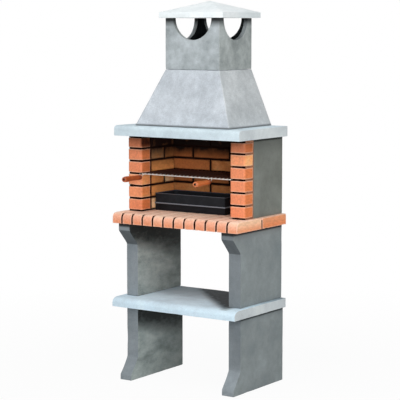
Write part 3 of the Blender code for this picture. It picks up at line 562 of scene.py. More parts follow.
@dataclass(frozen=True)
class GalvanisedWire(Finish):
    """Hot-dip galvanised wire: a bright, soft satin front, and painted shade inside the firebox."""

    zinc: str
    burnt: str
    bright_until: float
    burnt_from: float
    spangle_mm: float = 9.0
    bright_roughness: float = 0.38
    burnt_roughness: float = 0.62

    def pattern(self, tree: NodeTree, place: NodeSocket) -> dict:
        """Lay the zinc's spangle and the painted shade on the stretch inside the firebox.

        Args:
            tree: Tree of the material.
            place: Object coordinates.

        Returns:
            What the shader's inputs are fed with.
        """
        behind = add_node(tree, "ShaderNodeSeparateXYZ", {"Vector": place}).outputs["Y"]
        # painted shade: the wire darkens behind the pillars' front, in the firebox's shade
        colour = laid_over(
            tree, srgb(self.zinc), self.burnt, behind, self.bright_until, self.burnt_from)
        spangle = add_node(tree, "ShaderNodeTexNoise", {
            "Vector": place, "Scale": per_metre(self.spangle_mm), "Detail": 4.0})
        colour = shaded(tree, colour, spangle, darkest=0.8, palest=1.08)
        gloss = add_node(tree, "ShaderNodeMapRange", {
            "Value": behind, "From Min": self.bright_until, "From Max": self.burnt_from,
            "To Min": self.bright_roughness, "To Max": self.burnt_roughness})
        return {"Base Color": colour, "Roughness": gloss, "Metallic": 1.0}


@dataclass(frozen=True)
class TurnedWood(Finish):
    """Turned and varnished beech: warm grain along the handle under a clear, slightly worn coat.

    The neck is darker. The fibres are really finer than 1 mm and are drawn wider, so that they
    show.
    """

    body: str
    grain: str
    neck: str
    neck_y: float
    body_y: float
    fibre_mm: float = 3.0
    fibre_drawn: tuple[float, float, float] = (1.0, 0.07, 1.0)
    relief: float = 0.0003

    def pattern(self, tree: NodeTree, place: NodeSocket) -> dict:
        """Lay the grain and the dark neck.

        Args:
            tree: Tree of the material.
            place: Object coordinates.

        Returns:
            What the shader's inputs are fed with.
        """
        drawn = add_node(tree, "ShaderNodeMapping", {"Vector": place, "Scale": self.fibre_drawn})
        fibre = add_node(tree, "ShaderNodeTexNoise", {
            "Vector": drawn, "Scale": per_metre(self.fibre_mm), "Detail": 5.0, "Roughness": 0.6})
        tint = add_node(tree, "ShaderNodeValToRGB", {"Fac": fibre}, (
            (0.36, srgb(self.grain)), (0.6, srgb(self.body))))
        along = add_node(tree, "ShaderNodeSeparateXYZ", {"Vector": place}).outputs["Y"]
        colour = laid_over(tree, tint, self.neck, along, self.body_y, self.neck_y)
        bump = add_node(tree, "ShaderNodeBump", {
            "Strength": 0.25, "Distance": self.relief, "Height": fibre})
        return {"Base Color": colour, "Normal": bump, "Roughness": 0.42,
                "Coat Weight": 0.5, "Coat Roughness": 0.18}


@dataclass(frozen=True)
class EnamelledSteel(Finish):
    """Black enamelled sheet steel: hard, satin and faintly pebbled, with a film of grey ash dust.

    A paler line along the top rims is a painted highlight, where the piece's attribute for it
    says. The pebbling is drawn coarser than it is, so that it shows.
    """

    body: str
    dust: str
    rubbed: str
    film_mm: float = 45.0
    pebble_mm: float = 4.0
    relief: float = 0.0003

    def pattern(self, tree: NodeTree, place: NodeSocket) -> dict:
        """Lay the dust, the rims' painted highlight and the pebbled gloss.

        Args:
            tree: Tree of the material.
            place: Object coordinates.

        Returns:
            What the shader's inputs are fed with.
        """
        film = add_node(tree, "ShaderNodeTexNoise", {
            "Vector": place, "Scale": per_metre(self.film_mm), "Detail": 6.0, "Roughness": 0.65})
        tint = add_node(tree, "ShaderNodeValToRGB", {"Fac": film}, (
            (0.42, srgb(self.body)), (0.78, srgb(self.dust))))
        # painted highlight along the top rim
        worn = add_node(tree, "ShaderNodeAttribute", attribute_name="rubbed").outputs["Fac"]
        colour = add_node(tree, "ShaderNodeMixRGB", {
            "Fac": worn, "Color1": tint, "Color2": srgb(self.rubbed)})
        gloss = add_node(tree, "ShaderNodeMapRange", {
            "Value": film, "From Min": NOISE_SPAN[0], "From Max": NOISE_SPAN[1],
            "To Min": 0.44, "To Max": 0.62})
        pebble = add_node(tree, "ShaderNodeTexNoise", {
            "Vector": place, "Scale": per_metre(self.pebble_mm), "Detail": 2.0})
        bump = add_node(tree, "ShaderNodeBump", {
            "Strength": 0.2, "Distance": self.relief, "Height": pebble})
        return {"Base Color": colour, "Normal": bump, "Roughness": gloss,
                "Specular IOR Level": 0.12}


class Palette:
    """Every finish of the barbecue, made once, with colours read from the photograph.

    The ledge's bricks are darker up to `foot_share` of their height, and the handles over
    `neck_share` of their length. The wire is bright up to `bright_reach` behind the pillars'
    front and painted darker from `burnt_reach`, for the shade in the firebox.
    """

    foot_share: float = 0.75
    neck_share: float = 0.22
    bright_reach: float = 0.008
    burnt_reach: float = 0.022

    def __init__(self) -> None:
        """Make every finish."""
        ledge_low, ledge_high = box_of("nosing_brick_01")
        foot_high = mixed(ledge_low.z, ledge_high.z, self.foot_share)
        front = box_of("left_pillar_brick_1")[0].y
        tip, neck = box_of("left_handle")[0].y, box_of("left_handle")[1].y
        wood = {"neck": "#6A180C", "neck_y": neck, "body_y": neck - self.neck_share * (neck - tip)}
        # concrete: the fourth colour paints shade on the flanks, the fifth is the colour of painted
        # shade
        self.leg = CastConcrete(
            "cast_concrete_leg", "#8B9398", "#818A90", "#959EA4", "#828A8B", "#1E2324",
            mottle=0.06).make()
        # inner faces: a paler copy of the leg's concrete, painted light, under their painted shade
        self.stained_leg = CastConcrete(
            "cast_concrete_stained_leg", "#A8B2AF", "#848E8B", "#C4CBC7", "#A8B2AF", "#101614",
            drawn=(1.0, 0.5, 1.0), cloud_mm=80.0, mottle=0.09, mottle_mm=22.0,
            speckle=0.10).make()
        self.shelf = CastConcrete(
            "cast_concrete_shelf", "#D4EAF7", "#C9DDE9", "#DFF5FF", "#C6CED1", "#18242A",
            mottle=0.04, pit_share=0.12, roughness=0.82).make()
        self.lintel = CastConcrete(
            "cast_concrete_lintel", "#CDDDE5", "#C1D0D8", "#DAEAF1", "#C6CED1", "#1F2629",
            mottle=0.04, pit_share=0.12, roughness=0.82).make()
        self.panel = CastConcrete(
            "cast_concrete_panel", "#727670", "#696C66", "#7C807A", "#727670", "#1C1F1C",
            mottle=0.06).make()
        self.hood = CastConcrete(
            "cast_concrete_hood", "#C2C9D0", "#B3BAC1", "#D2D9E0", "#BCC1C3", "#6E7376",
            mottle=0.08, speckle=0.10, pit_share=0.4).make()
        self.stack = CastConcrete(
            "cast_concrete_stack", "#A2AAAD", "#8C9497", "#BAC2C6", "#9AA1A0", "#2A2E2F",
            cloud_mm=110.0, mottle=0.10).make()
        self.cap = CastConcrete(
            "cast_concrete_cap", "#F0F7F9", "#E4ECEE", "#F8FCFD", "#E0E8EA", "#9AA0A2",
            mottle=0.03, speckle=0.03, pit_share=0.1, roughness=0.8).make()
        # painted shade: the flue's inner faces are painted near black for the deep shade in it
        self.soot = Soot("chimney_flue_shade", "#131619", "#262B2D").make()
        # bricks: front and top tints are painted light, pale arrises painted highlights; dark shade
        # colours are painted shade
        self.ledge_brick = FiredBrick(
            "fired_brick_ledge", "#FBCBA6", "#F5B790", "#E99C70", "#FFC0A8", 0.6,
            "#FFE0CC", 0.4, top="#FFDCC6", top_share=0.8, foot="#EA8450", foot_share=0.8,
            foot_low=ledge_low.z, foot_high=foot_high).make()
        self.pillar_brick = FiredBrick(
            "fired_brick_pillar", "#FFC88C", "#FBA862", "#DC7A40", "#F69C76", 0.72,
            "#FFD8BC", 0.5, smoke="#3C1404", front_from=-0.3).make()
        # lining bricks: the side walls take a paler copy, painted light; the back wall a darker one
        # with painted shade
        self.side_lining = FiredBrick(
            "fired_brick_side_lining", "#FFDAAE", "#FFC48C", "#EC9C5A", "#FFC48C", 0.2,
            "#3C1C0C", 0.6, smoke="#1E0702").make()
        self.back_lining = FiredBrick(
            "fired_brick_back_lining", "#FFBE84", "#F4A464", "#CC7640", "#F4A464", 0.2,
            "#2A1208", 0.6, smoke="#140602").make()
        # mortar: the dark joint colours are partly the mortar's own, partly painted shade of the
        # joints
        self.mortar = RakedMortar("raked_mortar", "#3E180C", "#D8A888").make()
        self.dark_mortar = RakedMortar("raked_mortar_dark", "#22100A", "#2C160C").make()
        self.outer_side_mortar = RakedMortar("outer_side_mortar", "#A06E54", "#B08870").make()
        self.wire = GalvanisedWire(
            "galvanised_wire", "#DCD9D4", "#6A4A42", front + self.bright_reach,
            front + self.burnt_reach).make()
        self.left_wood = TurnedWood("turned_beech_left", "#C0602F", "#96421F", **wood).make()
        self.right_wood = TurnedWood("turned_beech_right", "#D67C44", "#B75C2C", **wood).make()
        # the bore's faces: darker end grain, partly painted shade in the hole
        self.bore = TurnedWood("end_grain_and_painted_shade", "#4A2818", "#2E160C", **wood).make()
        self.pan_enamel = EnamelledSteel(
            "black_enamelled_pan", "#141518", "#1E1F24", "#80858E").make()
        self.tray_enamel = EnamelledSteel(
            "black_enamelled_tray", "#1E2125", "#2B2E33", "#54575E").make()


@dataclass(frozen=True)
class Wear:
    """How far casting and weather take a shape from its drawn edges, in metres.

    Chips lie within `chip_reach` arris widths of a corner, where a noise that is `chip_stretch`
    times as wide as the ripple's passes `chip_from`.
    """

    arris: float
    grid: float
    ripple: float
    wave: float
    chip: float = 0.0
    chip_reach: float = 1.6
    chip_stretch: float = 1.7
    chip_from: float = 0.15

    def depth(self, spot: Vector, near: float) -> float:
        """How deep a spot is worn.

        Args:
            spot: Place on the shape.
            near: Its distance from a corner.

        Returns:
            The depth.
        """
        depth = self.ripple * (0.5 + 0.5 * noise.noise(spot / self.wave))
        if self.chip and near < self.arris * self.chip_reach:
            nick = noise.noise(spot / (self.wave * self.chip_stretch) + CHIP_OFFSET)
            depth += self.chip * max(0.0, nick - self.chip_from)
        return depth


def merged_copy(node: str) -> BMesh:
    """A CAD node's shape as one closed bmesh with its flat faces whole again.

    Args:
        node: Name of the node.

    Returns:
        The bmesh, in the frame's own place.
    """
    shape = bmesh.new()
    shape.from_mesh(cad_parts[node].data)
    bmesh.ops.remove_doubles(shape, verts=shape.verts, dist=MERGE_DISTANCE)
    bmesh.ops.dissolve_limit(
        shape, angle_limit=FLAT_ANGLE, verts=shape.verts, edges=shape.edges)
    bmesh.ops.recalc_face_normals(shape, faces=shape.faces)
    return shape


def sharp_edges(shape: BMesh) -> list[BMEdge]:
    """The edges of a shape that stand out as corners.

    Args:
        shape: Shape with merged corners.

    Returns:
        Its convex edges that bend by more than the sharp angle.
    """
    return [
        e for e in shape.edges
        if len(e.link_faces) == 2 and e.is_convex and e.calc_face_angle() > SHARP_ANGLE
    ]


def edge_tree(shape: BMesh) -> KDTree:
    """Points along a shape's corners, for finding how near a spot lies to one.

    Args:
        shape: Shape before its corners are rounded.

    Returns:
        The balanced tree of points.
    """
    points = []
    for edge in sharp_edges(shape):
        start, end = edge.verts[0].co, edge.verts[1].co
        count = max(1, int(edge.calc_length() / EDGE_SAMPLE))
        points += [start.lerp(end, step / count) for step in range(count + 1)]
    tree = KDTree(len(points))
    for index, point in enumerate(points):
        tree.insert(point, index)
    tree.balance()
    return tree


def cut_across(shape: BMesh, axis: int, level: float) -> None:
    """Cut a shape's faces with one plane.

    Args:
        shape: Shape to cut.
        axis: Number of the axis that the plane stands square to.
        level: Where the plane crosses that axis.
    """
    spot, normal = Vector(), Vector()
    spot[axis], normal[axis] = level, 1.0
    bmesh.ops.bisect_plane(
        shape, geom=[*shape.verts, *shape.edges, *shape.faces], dist=MERGE_DISTANCE / 2,
        plane_co=spot, plane_no=normal)


def weathered_copy(node: str, wear: Wear, levels: tuple[float, ...] = ()) -> BMesh:
    """A CAD node's shape with worn corners and a faint ripple, never outside the drawn one.

    Args:
        node: Name of the node.
        wear: How far the shape is worn.
        levels: Heights where the faces are cut, so that painted shade and highlights can end there.

    Returns:
        The bmesh, whose `edge` layer holds each spot's distance from a corner.
    """
    shape = merged_copy(node)
    corners = edge_tree(shape)
    bmesh.ops.bevel(
        shape, geom=sharp_edges(shape), offset=wear.arris, offset_type="OFFSET", segments=2,
        profile=0.5, affect="EDGES", clamp_overlap=True, material=-1)
    for axis in range(3):
        values = [v.co[axis] for v in shape.verts]
        low, high = min(values), max(values)
        count = int((high - low) / wear.grid)
        for index in range(1, count + 1):
            cut_across(shape, axis, low + (high - low) * index / (count + 1))
    for level in levels:
        cut_across(shape, Z_AXIS, level)
    shape.normal_update()
    layer = shape.verts.layers.float.new("edge")
    for vert in shape.verts:
        vert[layer] = corners.find(vert.co)[2]
    moves = [-wear.depth(vert.co, vert[layer]) * vert.normal for vert in shape.verts]
    for vert, move in zip(shape.verts, moves):
        vert.co += move
    return shape


def paint_faces(shape: BMesh, rule: Rule) -> None:
    """Give some faces the second of the piece's finishes.

    Args:
        shape: Shape to paint.
        rule: Tells from a face's middle and normal whether it is painted.
    """
    for face in shape.faces:
        if rule(face.calc_center_median(), face.normal):
            face.material_index = 1


def own_tone(*numbers: float) -> float:
    """A fixed tone from -1 to 1 for a brick.

    Args:
        *numbers: Up to three numbers that tell the brick from the others.

    Returns:
        The tone.
    """
    place = Vector((*numbers, 0.0, 0.0, 0.0)[:3])
    return noise.cell(place * CELL_STEP + CELL_MIDDLE)


def publish(shape: BMesh, name: str, finishes: tuple, body: str,
            replaces: tuple = (), weighted: bool = True) -> bpy.types.Object:
    """Turn a bmesh into a finished piece that rides on its body.

    Args:
        shape: The piece's shape, in its own place.
        name: Name of the piece.
        finishes: Materials, in the order of the faces' material numbers.
        body: CAD body that carries the piece.
        replaces: CAD nodes that the piece stands for.
        weighted: Whether large faces hold their shading flat against rounded corners.

    Returns:
        The piece.
    """
    bmesh.ops.recalc_face_normals(shape, faces=shape.faces)
    mesh = bpy.data.meshes.new(name)
    shape.to_mesh(mesh)
    shape.free()
    for material in finishes:
        mesh.materials.append(material)
    mesh.shade_smooth()
    mesh.set_sharp_from_angle(angle=CORNER_ANGLE)
    piece = bpy.data.objects.new(name, mesh)
    bpy.context.scene.collection.objects.link(piece)
    if weighted:
        modifier = piece.modifiers.new("flat_faces", "WEIGHTED_NORMAL")
        modifier.keep_sharp = True
    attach(piece, body)
    if replaces:
        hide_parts(*replaces)
    LOG.info("%s: %d faces on %s", name, len(mesh.polygons), body)
    return piece


def dress(shape: BMesh, node: str, made: str, finishes: tuple, slot: str,
          body: str = "masonry", painted: Rule | None = None, **layers: Rule) -> None:
    """Finish the worn copy of a CAD node and put it in the node's place.

    Args:
        shape: The worn copy.
        node: Name of the node.
        made: How the piece was made, the last word of its name.
        finishes: Materials; the second one is for painted faces.
        slot: Name of a material slot; not used.
        body: CAD body that carries the piece.
        painted: Tells from a face's middle and normal whether it is painted.
        **layers: Attributes that the finishes read, each with the rule for its value.
    """
    if painted:
        paint_faces(shape, painted)
    for name, rule in layers.items():
        layer = shape.verts.layers.float.new(name)
        for vert in shape.verts:
            vert[layer] = rule(vert.co, vert.normal)
    publish(shape, f"{node}_{made}", finishes, body, (node,))


@dataclass
class Legs:
    """The two pairs of cast legs, with painted shade on their inner faces and under the ledge.

    Painted shade is darkest in a thin contact line under the ledge and at the top and back of the
    inner faces; the sloping faces below the corbelled heads are painted darker too.
    """

    palette: Palette
    contact_line: float = 0.011
    contact_fade: float = 0.019
    shade_reach: float = 0.045
    shade_share: float = 0.3
    black_front: float = 0.030
    black_back: float = 0.085
    clear_front: float = 0.125
    clear_back: float = 0.28
    back_share: float = 0.55
    corbel_share: float = 0.62
    corbel_normal: float = -0.3
    right_front_share: float = 0.24
    foot_top: float = 0.113
    foot_blend: float = 0.022
    wear: Wear = Wear(arris=0.0025, grid=0.022, ripple=0.0007, wave=0.045, chip=0.003)

    def shade_paint(self, side: Side, top: float, spot: Vector, normal: Vector) -> float:
        """Share of painted shade on a spot of a leg.

        Args:
            side: Side that the leg stands on.
            top: Height of the leg's top.
            spot: Place on the leg.
            normal: Direction that the spot faces.

        Returns:
            The share, from 0 to 1.
        """
        below = top - spot.z
        # painted contact shadow: a thin dark line just under the ledge
        line = fade(below, self.contact_line, self.contact_fade)
        # inner faces: painted shade, darkest at the top and towards the back
        if normal.x * side.value < -LEVEL_NORMAL:
            low, high = box_of(f"{side.label}_upper_leg")
            back = fade(spot.y, high.y, low.y)
            black = mixed(self.black_front, self.black_back, back)
            clear = mixed(self.clear_front, self.clear_back, back)
            return max(line, shade_fade(below, black, clear), self.back_share * back)
        # sloping faces below the corbelled heads look down and take painted shade
        if normal.y < 0 and -FLAT_NORMAL < normal.z < self.corbel_normal:
            return max(line, self.corbel_share)
        # painted shade just under the ledge; the right leg's front is painted darker above its foot
        shade = self.shade_share * fade(below, 0.0, self.shade_reach)
        if side is Side.RIGHT and normal.y < -LEVEL_NORMAL:
            above_foot = fade(spot.z, self.foot_top + self.foot_blend, self.foot_top)
            shade += self.right_front_share * above_foot
        return max(line, shade)

    def build(self) -> None:
        """Build and dress the four legs."""
        finishes = (self.palette.leg, self.palette.stained_leg)
        for side, level in product(Side, ("lower", "upper")):
            node = f"{side.label}_{level}_leg"
            top = box_of(node)[1].z
            shape = weathered_copy(node, self.wear, (top - self.contact_line, top - self.contact_fade))
            dress(shape, node, "cast", finishes, "concrete_leg",
                  painted=lambda _, normal: normal.x * side.value < -LEVEL_NORMAL,
                  stain=lambda spot, normal: self.shade_paint(side, top, spot, normal))


def looks_inward(spot: Vector, normal: Vector) -> bool:
    """Whether an upright face looks at the middle of the flue.

    Args:
        spot: Middle of the face.
        normal: Direction that it faces.

    Returns:
        Whether it does.
    """
    low, high = box_of("chimney_stack")
    middle = (low + high) / 2
    return (spot - middle).xy.dot(normal.xy) < 0 and abs(normal.z) < LEVEL_NORMAL


@dataclass
class Slabs:
    """The pale cast slabs: the shelf between the legs, and the lintel over the firebox.

    Painted shade greys the shelf's top towards its back, under the ledge, and a painted shadow of
    the right leg blackens the corner by it, behind a line that runs slantwise from the back to the
    leg's front.
    """

    palette: Palette
    unshaded_share: float = 0.42
    back_share: float = 0.64
    corner_slant: float = 1.04
    corner_clear: float = 0.045
    corner_black: float = 0.120
    under_leg: float = 0.05
    wear: Wear = Wear(arris=0.0015, grid=0.024, ripple=0.0006, wave=0.06, chip=0.002)

    def shelf_shade(self, spot: Vector, normal: Vector) -> float:
        """Share of painted shade on a spot of the shelf, which only its top takes.

        Args:
            spot: Place on the shelf.
            normal: Direction that the spot faces.

        Returns:
            The share, from 0 to 1.
        """
        low, high = box_of("shelf_slab")
        unshaded = low.y + (high.y - low.y) * self.unshaded_share
        back = fade(spot.y, high.y, unshaded)
        reach = spot.x + spot.y * self.corner_slant
        leg = box_of("right_upper_leg")[0].x
        # painted shadow of the right leg in the corner beside it
        corner = (shade_fade(reach, self.corner_black, self.corner_clear)
                  * fade(spot.x, leg, leg + self.under_leg))
        share = max(self.back_share * back, corner)
        return share if normal.z > FLAT_NORMAL else 0.0

    def build(self) -> None:
        """Build and dress both slabs."""
        dress(weathered_copy("shelf_slab", self.wear), "shelf_slab", "cast",
              (self.palette.shelf,), "concrete_slab", stain=self.shelf_shade)
        dress(weathered_copy("lintel_slab", self.wear), "lintel_slab", "cast",
              (self.palette.lintel, self.palette.soot), "concrete_slab", painted=looks_inward)


@dataclass
class WallPanels:
    """The smooth cast panels round the brick lining, darker where the lintel shades them."""

    palette: Palette
    shade_reach: float = 0.10
    shade_share: float = 0.55
    line: float = 0.009
    line_fade: float = 0.015
    wear: Wear = Wear(arris=0.0015, grid=0.024, ripple=0.0005, wave=0.07, chip=0.002)

    def shade(self, below: float) -> float:
        """Share of painted shade at a distance below a panel's top, a dark line under the lintel.
        """
        # painted shadow: a dark line just under the lintel, then a fade
        line = fade(below, self.line, self.line_fade)
        return max(line, self.shade_share * fade(below, 0.0, self.shade_reach))

    def build(self) -> None:
        """Build and dress the three panels."""
        for node in ("left_wall_panel", "right_wall_panel", "back_wall_panel"):
            top = box_of(node)[1].z
            shape = weathered_copy(node, self.wear, (top - self.line, top - self.line_fade))
            dress(shape, node, "cast", (self.palette.panel,), "concrete_panel",
                  stain=lambda spot, _: self.shade(top - spot.z))


@dataclass
class Chimney:
    """The hood over the firebox, the stack with its four vent notches, and the cap."""

    palette: Palette
    wall: float = 0.025
    base_line: float = 0.004
    base_fade: float = 0.012
    cap_line: float = 0.010
    cap_fade: float = 0.045
    wear: Wear = Wear(arris=0.002, grid=0.02, ripple=0.0007, wave=0.05, chip=0.003)
    cap_wear: Wear = Wear(arris=0.002, grid=0.03, ripple=0.0005, wave=0.08)

    def inside_stack(self, spot: Vector, wall: float = 0.0) -> bool:
        """Whether a place lies within the stack's outline, drawn in by a wall."""
        low, high = box_of("chimney_stack")
        return (low.x + wall < spot.x < high.x - wall) and (low.y + wall < spot.y < high.y - wall)

    def build(self) -> None:
        """Build and dress the hood, the stack and the cap."""
        base, top = box_of("hood")[0].z, box_of("chimney_stack")[1].z
        reach = self.wall - FACE_TOLERANCE
        # painted shade: a darker line along the hood's base, where it meets the lintel
        hood = weathered_copy("hood", self.wear, (base + self.base_line, base + self.base_fade))
        dress(hood, "hood", "cast", (self.palette.hood, self.palette.soot), "concrete_hood",
              painted=looks_inward,
              stain=lambda spot, _: fade(spot.z - base, self.base_line, self.base_fade))
        # painted shade: the stack darkens just under the cap's overhang
        stack = weathered_copy(
            "chimney_stack", self.wear, (top - self.cap_line, top - self.cap_fade))
        dress(stack, "chimney_stack", "cast", (self.palette.stack, self.palette.soot),
              "concrete_stack", painted=lambda spot, _: self.inside_stack(spot, reach),
              stain=lambda spot, _: fade(top - spot.z, self.cap_line, self.cap_fade))
        cap = weathered_copy("chimney_cap", self.cap_wear)
        dress(cap, "chimney_cap", "cast", (self.palette.cap, self.palette.soot), "concrete_cap",
              painted=lambda spot, normal: normal.z < -LEVEL_NORMAL and self.inside_stack(spot))


@dataclass
class Ledge:
    """Two rows of bricks on edge and the mortar between them.

    The bricks' sides in the joints take the mortar's finish, all but along the top: partly smeared
    mortar, partly painted shade in the raked joints.
    """

    palette: Palette
    columns: int = 12
    clean_top: float = 0.010
    nose: float = 0.030
    row_gap: float = 0.010
    wear: Wear = Wear(arris=0.0016, grid=0.011, ripple=0.0007, wave=0.016, chip=0.004)
    mortar_wear: Wear = Wear(arris=0.0008, grid=0.012, ripple=0.0012, wave=0.012)

    def in_joint(self, column: int, spot: Vector, normal: Vector) -> bool:
        """Whether a spot of a brick lies in a joint, under mortar.

        Args:
            column: Number of the brick's column, from the left.
            spot: Place on the brick.
            normal: Direction that the spot faces.

        Returns:
            Whether it does.
        """
        low, high = box_of("nosing_brick_01")
        if spot.z > high.z - self.clean_top and spot.y > low.y + self.nose:
            return False
        end = normal.x < 0 if column == 1 else normal.x > 0 and column == self.columns
        between_rows = abs(normal.y) > FLAT_NORMAL and abs(spot.y - high.y) < self.row_gap
        return between_rows or (abs(normal.x) > FLAT_NORMAL and not end)

    def build(self) -> None:
        """Build and dress the bricks and their mortar."""
        finishes = (self.palette.ledge_brick, self.palette.mortar)
        for column in range(1, self.columns + 1):
            for row, kind in enumerate(("nosing_brick", "ledge_brick")):
                node = f"{kind}_{column:02d}"
                tone = own_tone(column, row)
                dress(weathered_copy(node, self.wear), node, "fired", finishes, "brick_ledge",
                      # brick faces in the joints take the mortar finish: partly smeared mortar,
                      # partly painted shade
                      painted=lambda spot, normal: self.in_joint(column, spot, normal),
                      tone=lambda *_: tone)
        dress(weathered_copy("ledge_mortar", self.mortar_wear), "ledge_mortar", "raked",
              (self.palette.mortar,), "mortar")


@dataclass
class Pillars:
    """The two brick pillars with their raked mortar beds, which are paler on the outer side."""

    palette: Palette
    courses: int = 6
    tone_row: float = 3.0
    front_shadow: float = 0.62
    front_reach: float = 0.080
    inner_shadow: float = 0.92
    inner_full: float = 0.035
    inner_reach: float = 0.085
    wear: Wear = Wear(arris=0.0016, grid=0.010, ripple=0.0007, wave=0.016, chip=0.004)
    mortar_wear: Wear = Wear(arris=0.0008, grid=0.012, ripple=0.0010, wave=0.012)

    def smoke(self, side: Side, spot: Vector, normal: Vector) -> float:
        """Share of painted shade on a spot of a pillar's brick.

        Args:
            side: Side that the pillar stands on.
            spot: Place on the brick.
            normal: Direction that the spot faces.

        Returns:
            The share, largest under the lintel, as its painted shadow, and on the fire's side.
        """
        below = box_of("left_pillar_brick_1")[1].z - spot.z
        # painted shadow of the lintel, deeper and longer on the inner faces
        inner = self.inner_shadow * fade(below, self.inner_full, self.inner_reach)
        outer = self.front_shadow * fade(below, 0.0, self.front_reach)
        return mixed(outer, inner, clamped(-normal.x * side.value))

    def build(self) -> None:
        """Build and dress both pillars."""
        finishes = (self.palette.pillar_brick, self.palette.dark_mortar)
        beds = (self.palette.dark_mortar, self.palette.outer_side_mortar)
        for side in Side:
            for number in range(1, self.courses + 1):
                node = f"{side.label}_pillar_brick_{number}"
                tone = own_tone(number, side.value, self.tone_row)
                dress(weathered_copy(node, self.wear), node, "fired", finishes, "brick_pillar",
                      # bed faces in the raked joints take the dark mortar finish: partly mortar,
                      # partly painted shade
                      painted=lambda _, normal: abs(normal.z) > FLAT_NORMAL,
                      tone=lambda *_: tone,
                      stain=lambda spot, normal: self.smoke(side, spot, normal))
            node = f"{side.label}_pillar_mortar"
            dress(weathered_copy(node, self.mortar_wear), node, "raked", beds, "mortar",
                  painted=lambda _, normal: normal.x * side.value > LEVEL_NORMAL)


@dataclass
class Lining:
    """The brick lining of the three walls, in running bond with raked joints."""

    palette: Palette
    brick: float = 0.055
    joint: float = 0.009
    face_depth: float = 0.0011
    courses: int = 6
    back_length: float = 0.220
    back_cut: float = 0.110
    side_cut: float = 0.111
    smoke_full: float = 0.02
    side_clear: float = 0.175
    side_shadow: float = 0.0
    back_clear: float = 0.13
    back_shadow: float = 0.23
    wear: Wear = Wear(arris=0.0014, grid=0.014, ripple=0.0007, wave=0.02, chip=0.003)

    def course_of(self, level: float) -> int:
        """Number of the course at a height, counted from the ledge up."""
        base = box_of("left_pillar_brick_6")[0].z - self.joint / 2
        return min(self.courses - 1, max(0, int((level - base) / (self.brick + self.joint))))

    def tone(self, spot: Vector, inward: Vector) -> float:
        """Firing tone of the brick at a spot.

        Args:
            spot: Place on the wall.
            inward: Direction from the wall to the fire.

        Returns:
            The tone of the brick that covers the spot.
        """
        course = self.course_of(spot.z)
        if abs(inward.y) > LEVEL_NORMAL:
            left = -box_of("right_pillar_brick_1")[0].x
            first = self.back_cut if course % 2 == 0 else self.back_length
            index = int((spot.x - left - first) / (self.back_length + self.joint) + 1)
        else:
            split = box_of("left_side_lining")[0].y + self.side_cut
            index = int(course % 2 == 0 and spot.y > split)
        return own_tone(course, index, inward.x)

    def line_wall(self, node: str, inward: Vector, brick: Material, clear: float,
                  smoke: float) -> None:
        """Build one wall with its bricks' tones, the mortar in its joints and its painted shade.

        Args:
            node: The wall's CAD node.
            inward: Direction from the wall to the fire.
            brick: Finish of its bricks.
            clear: Distance below its top at which the painted shade under the lintel ends.
            smoke: Share of painted shade all over the wall.
        """
        shape = weathered_copy(node, self.wear)
        top = box_of(node)[1].z
        face_at = max(v.co.dot(inward) for v in shape.verts)
        dress(shape, node, "bricks", (brick, self.palette.dark_mortar), "brick_lining",
              # faces deeper than the wall's face take the dark mortar: partly mortar, partly
              # painted shade
              painted=lambda spot, _: face_at - spot.dot(inward) > self.face_depth,
              tone=lambda spot, _: self.tone(spot, inward),
              # painted shade under the lintel, and over the whole back wall
              stain=lambda spot, _: clamped(
                  smoke + shade_fade(top - spot.z, self.smoke_full, clear)))

    def build(self) -> None:
        """Build and dress the three walls."""
        for side in Side:
            self.line_wall(f"{side.label}_side_lining", Vector((-side.value, 0.0, 0.0)),
                           self.palette.side_lining, self.side_clear, self.side_shadow)
        self.line_wall("back_lining", Vector((0.0, -1.0, 0.0)),
                       self.palette.back_lining, self.back_clear, self.back_shadow)


class WireBundle:
    """Round wires laid along paths and turned into one mesh."""

    end_steps: int = 4

    def __init__(self, name: str, sides: int = 3) -> None:
        """Start an empty bundle.

        Args:
            name: Name of the bundle's curve.
            sides: Bevel resolution of the wires.
        """
        self.curve = bpy.data.curves.new(name, "CURVE")
        self.curve.dimensions = "3D"
        self.curve.bevel_depth = 1.0
        self.curve.bevel_resolution = sides
        self.curve.use_fill_caps = True

    def lay(self, points: list[Vector], diameter: float, closed: bool = False,
            round_ends: bool = False) -> None:
        """Lay one wire.

        Args:
            points: Points that the wire passes.
            diameter: Diameter of the wire.
            closed: Whether the wire is a loop.
            round_ends: Whether its ends are rounded off.
        """
        radius = diameter / 2
        stations = [(point, radius) for point in points]
        if round_ends:
            head = self.rounded_end(points[0], points[1], radius)
            tail = self.rounded_end(points[-1], points[-2], radius)
            stations = head + stations[1:-1] + tail[::-1]
        spline = self.curve.splines.new("POLY")
        spline.points.add(len(stations) - 1)
        spline.use_cyclic_u = closed
        for slot, (point, reach) in zip(spline.points, stations):
            slot.co = (*point, 1.0)
            slot.radius = reach

    def rounded_end(self, end: Vector, inner: Vector, radius: float) -> list[tuple]:
        """Stations of a wire's end that closes in a quarter circle.

        Args:
            end: The end.
            inner: The next point of the wire.
            radius: Radius of the wire.

        Returns:
            Points and radii, from the end inwards.
        """
        way = (inner - end).normalized()
        angles = [math.pi / 2 * step / self.end_steps for step in range(1, self.end_steps + 1)]
        return [(end + way * radius * (1 - math.cos(a)), radius * math.sin(a)) for a in angles]

    def shape(self) -> BMesh:
        """Turn the bundle into a mesh and remove its curve.

        Returns:
            The bundle as one bmesh.
        """
        carrier = bpy.data.objects.new(self.curve.name, self.curve)
        bpy.context.scene.collection.objects.link(carrier)
        bpy.context.view_layer.update()
        graph = bpy.context.evaluated_depsgraph_get()
        mesh = bpy.data.meshes.new_from_object(carrier.evaluated_get(graph))
        shape = bmesh.new()
        shape.from_mesh(mesh)
        bmesh.ops.remove_doubles(shape, verts=shape.verts, dist=MERGE_DISTANCE)
        bpy.data.objects.remove(carrier)
        bpy.data.meshes.remove(mesh)
        return shape


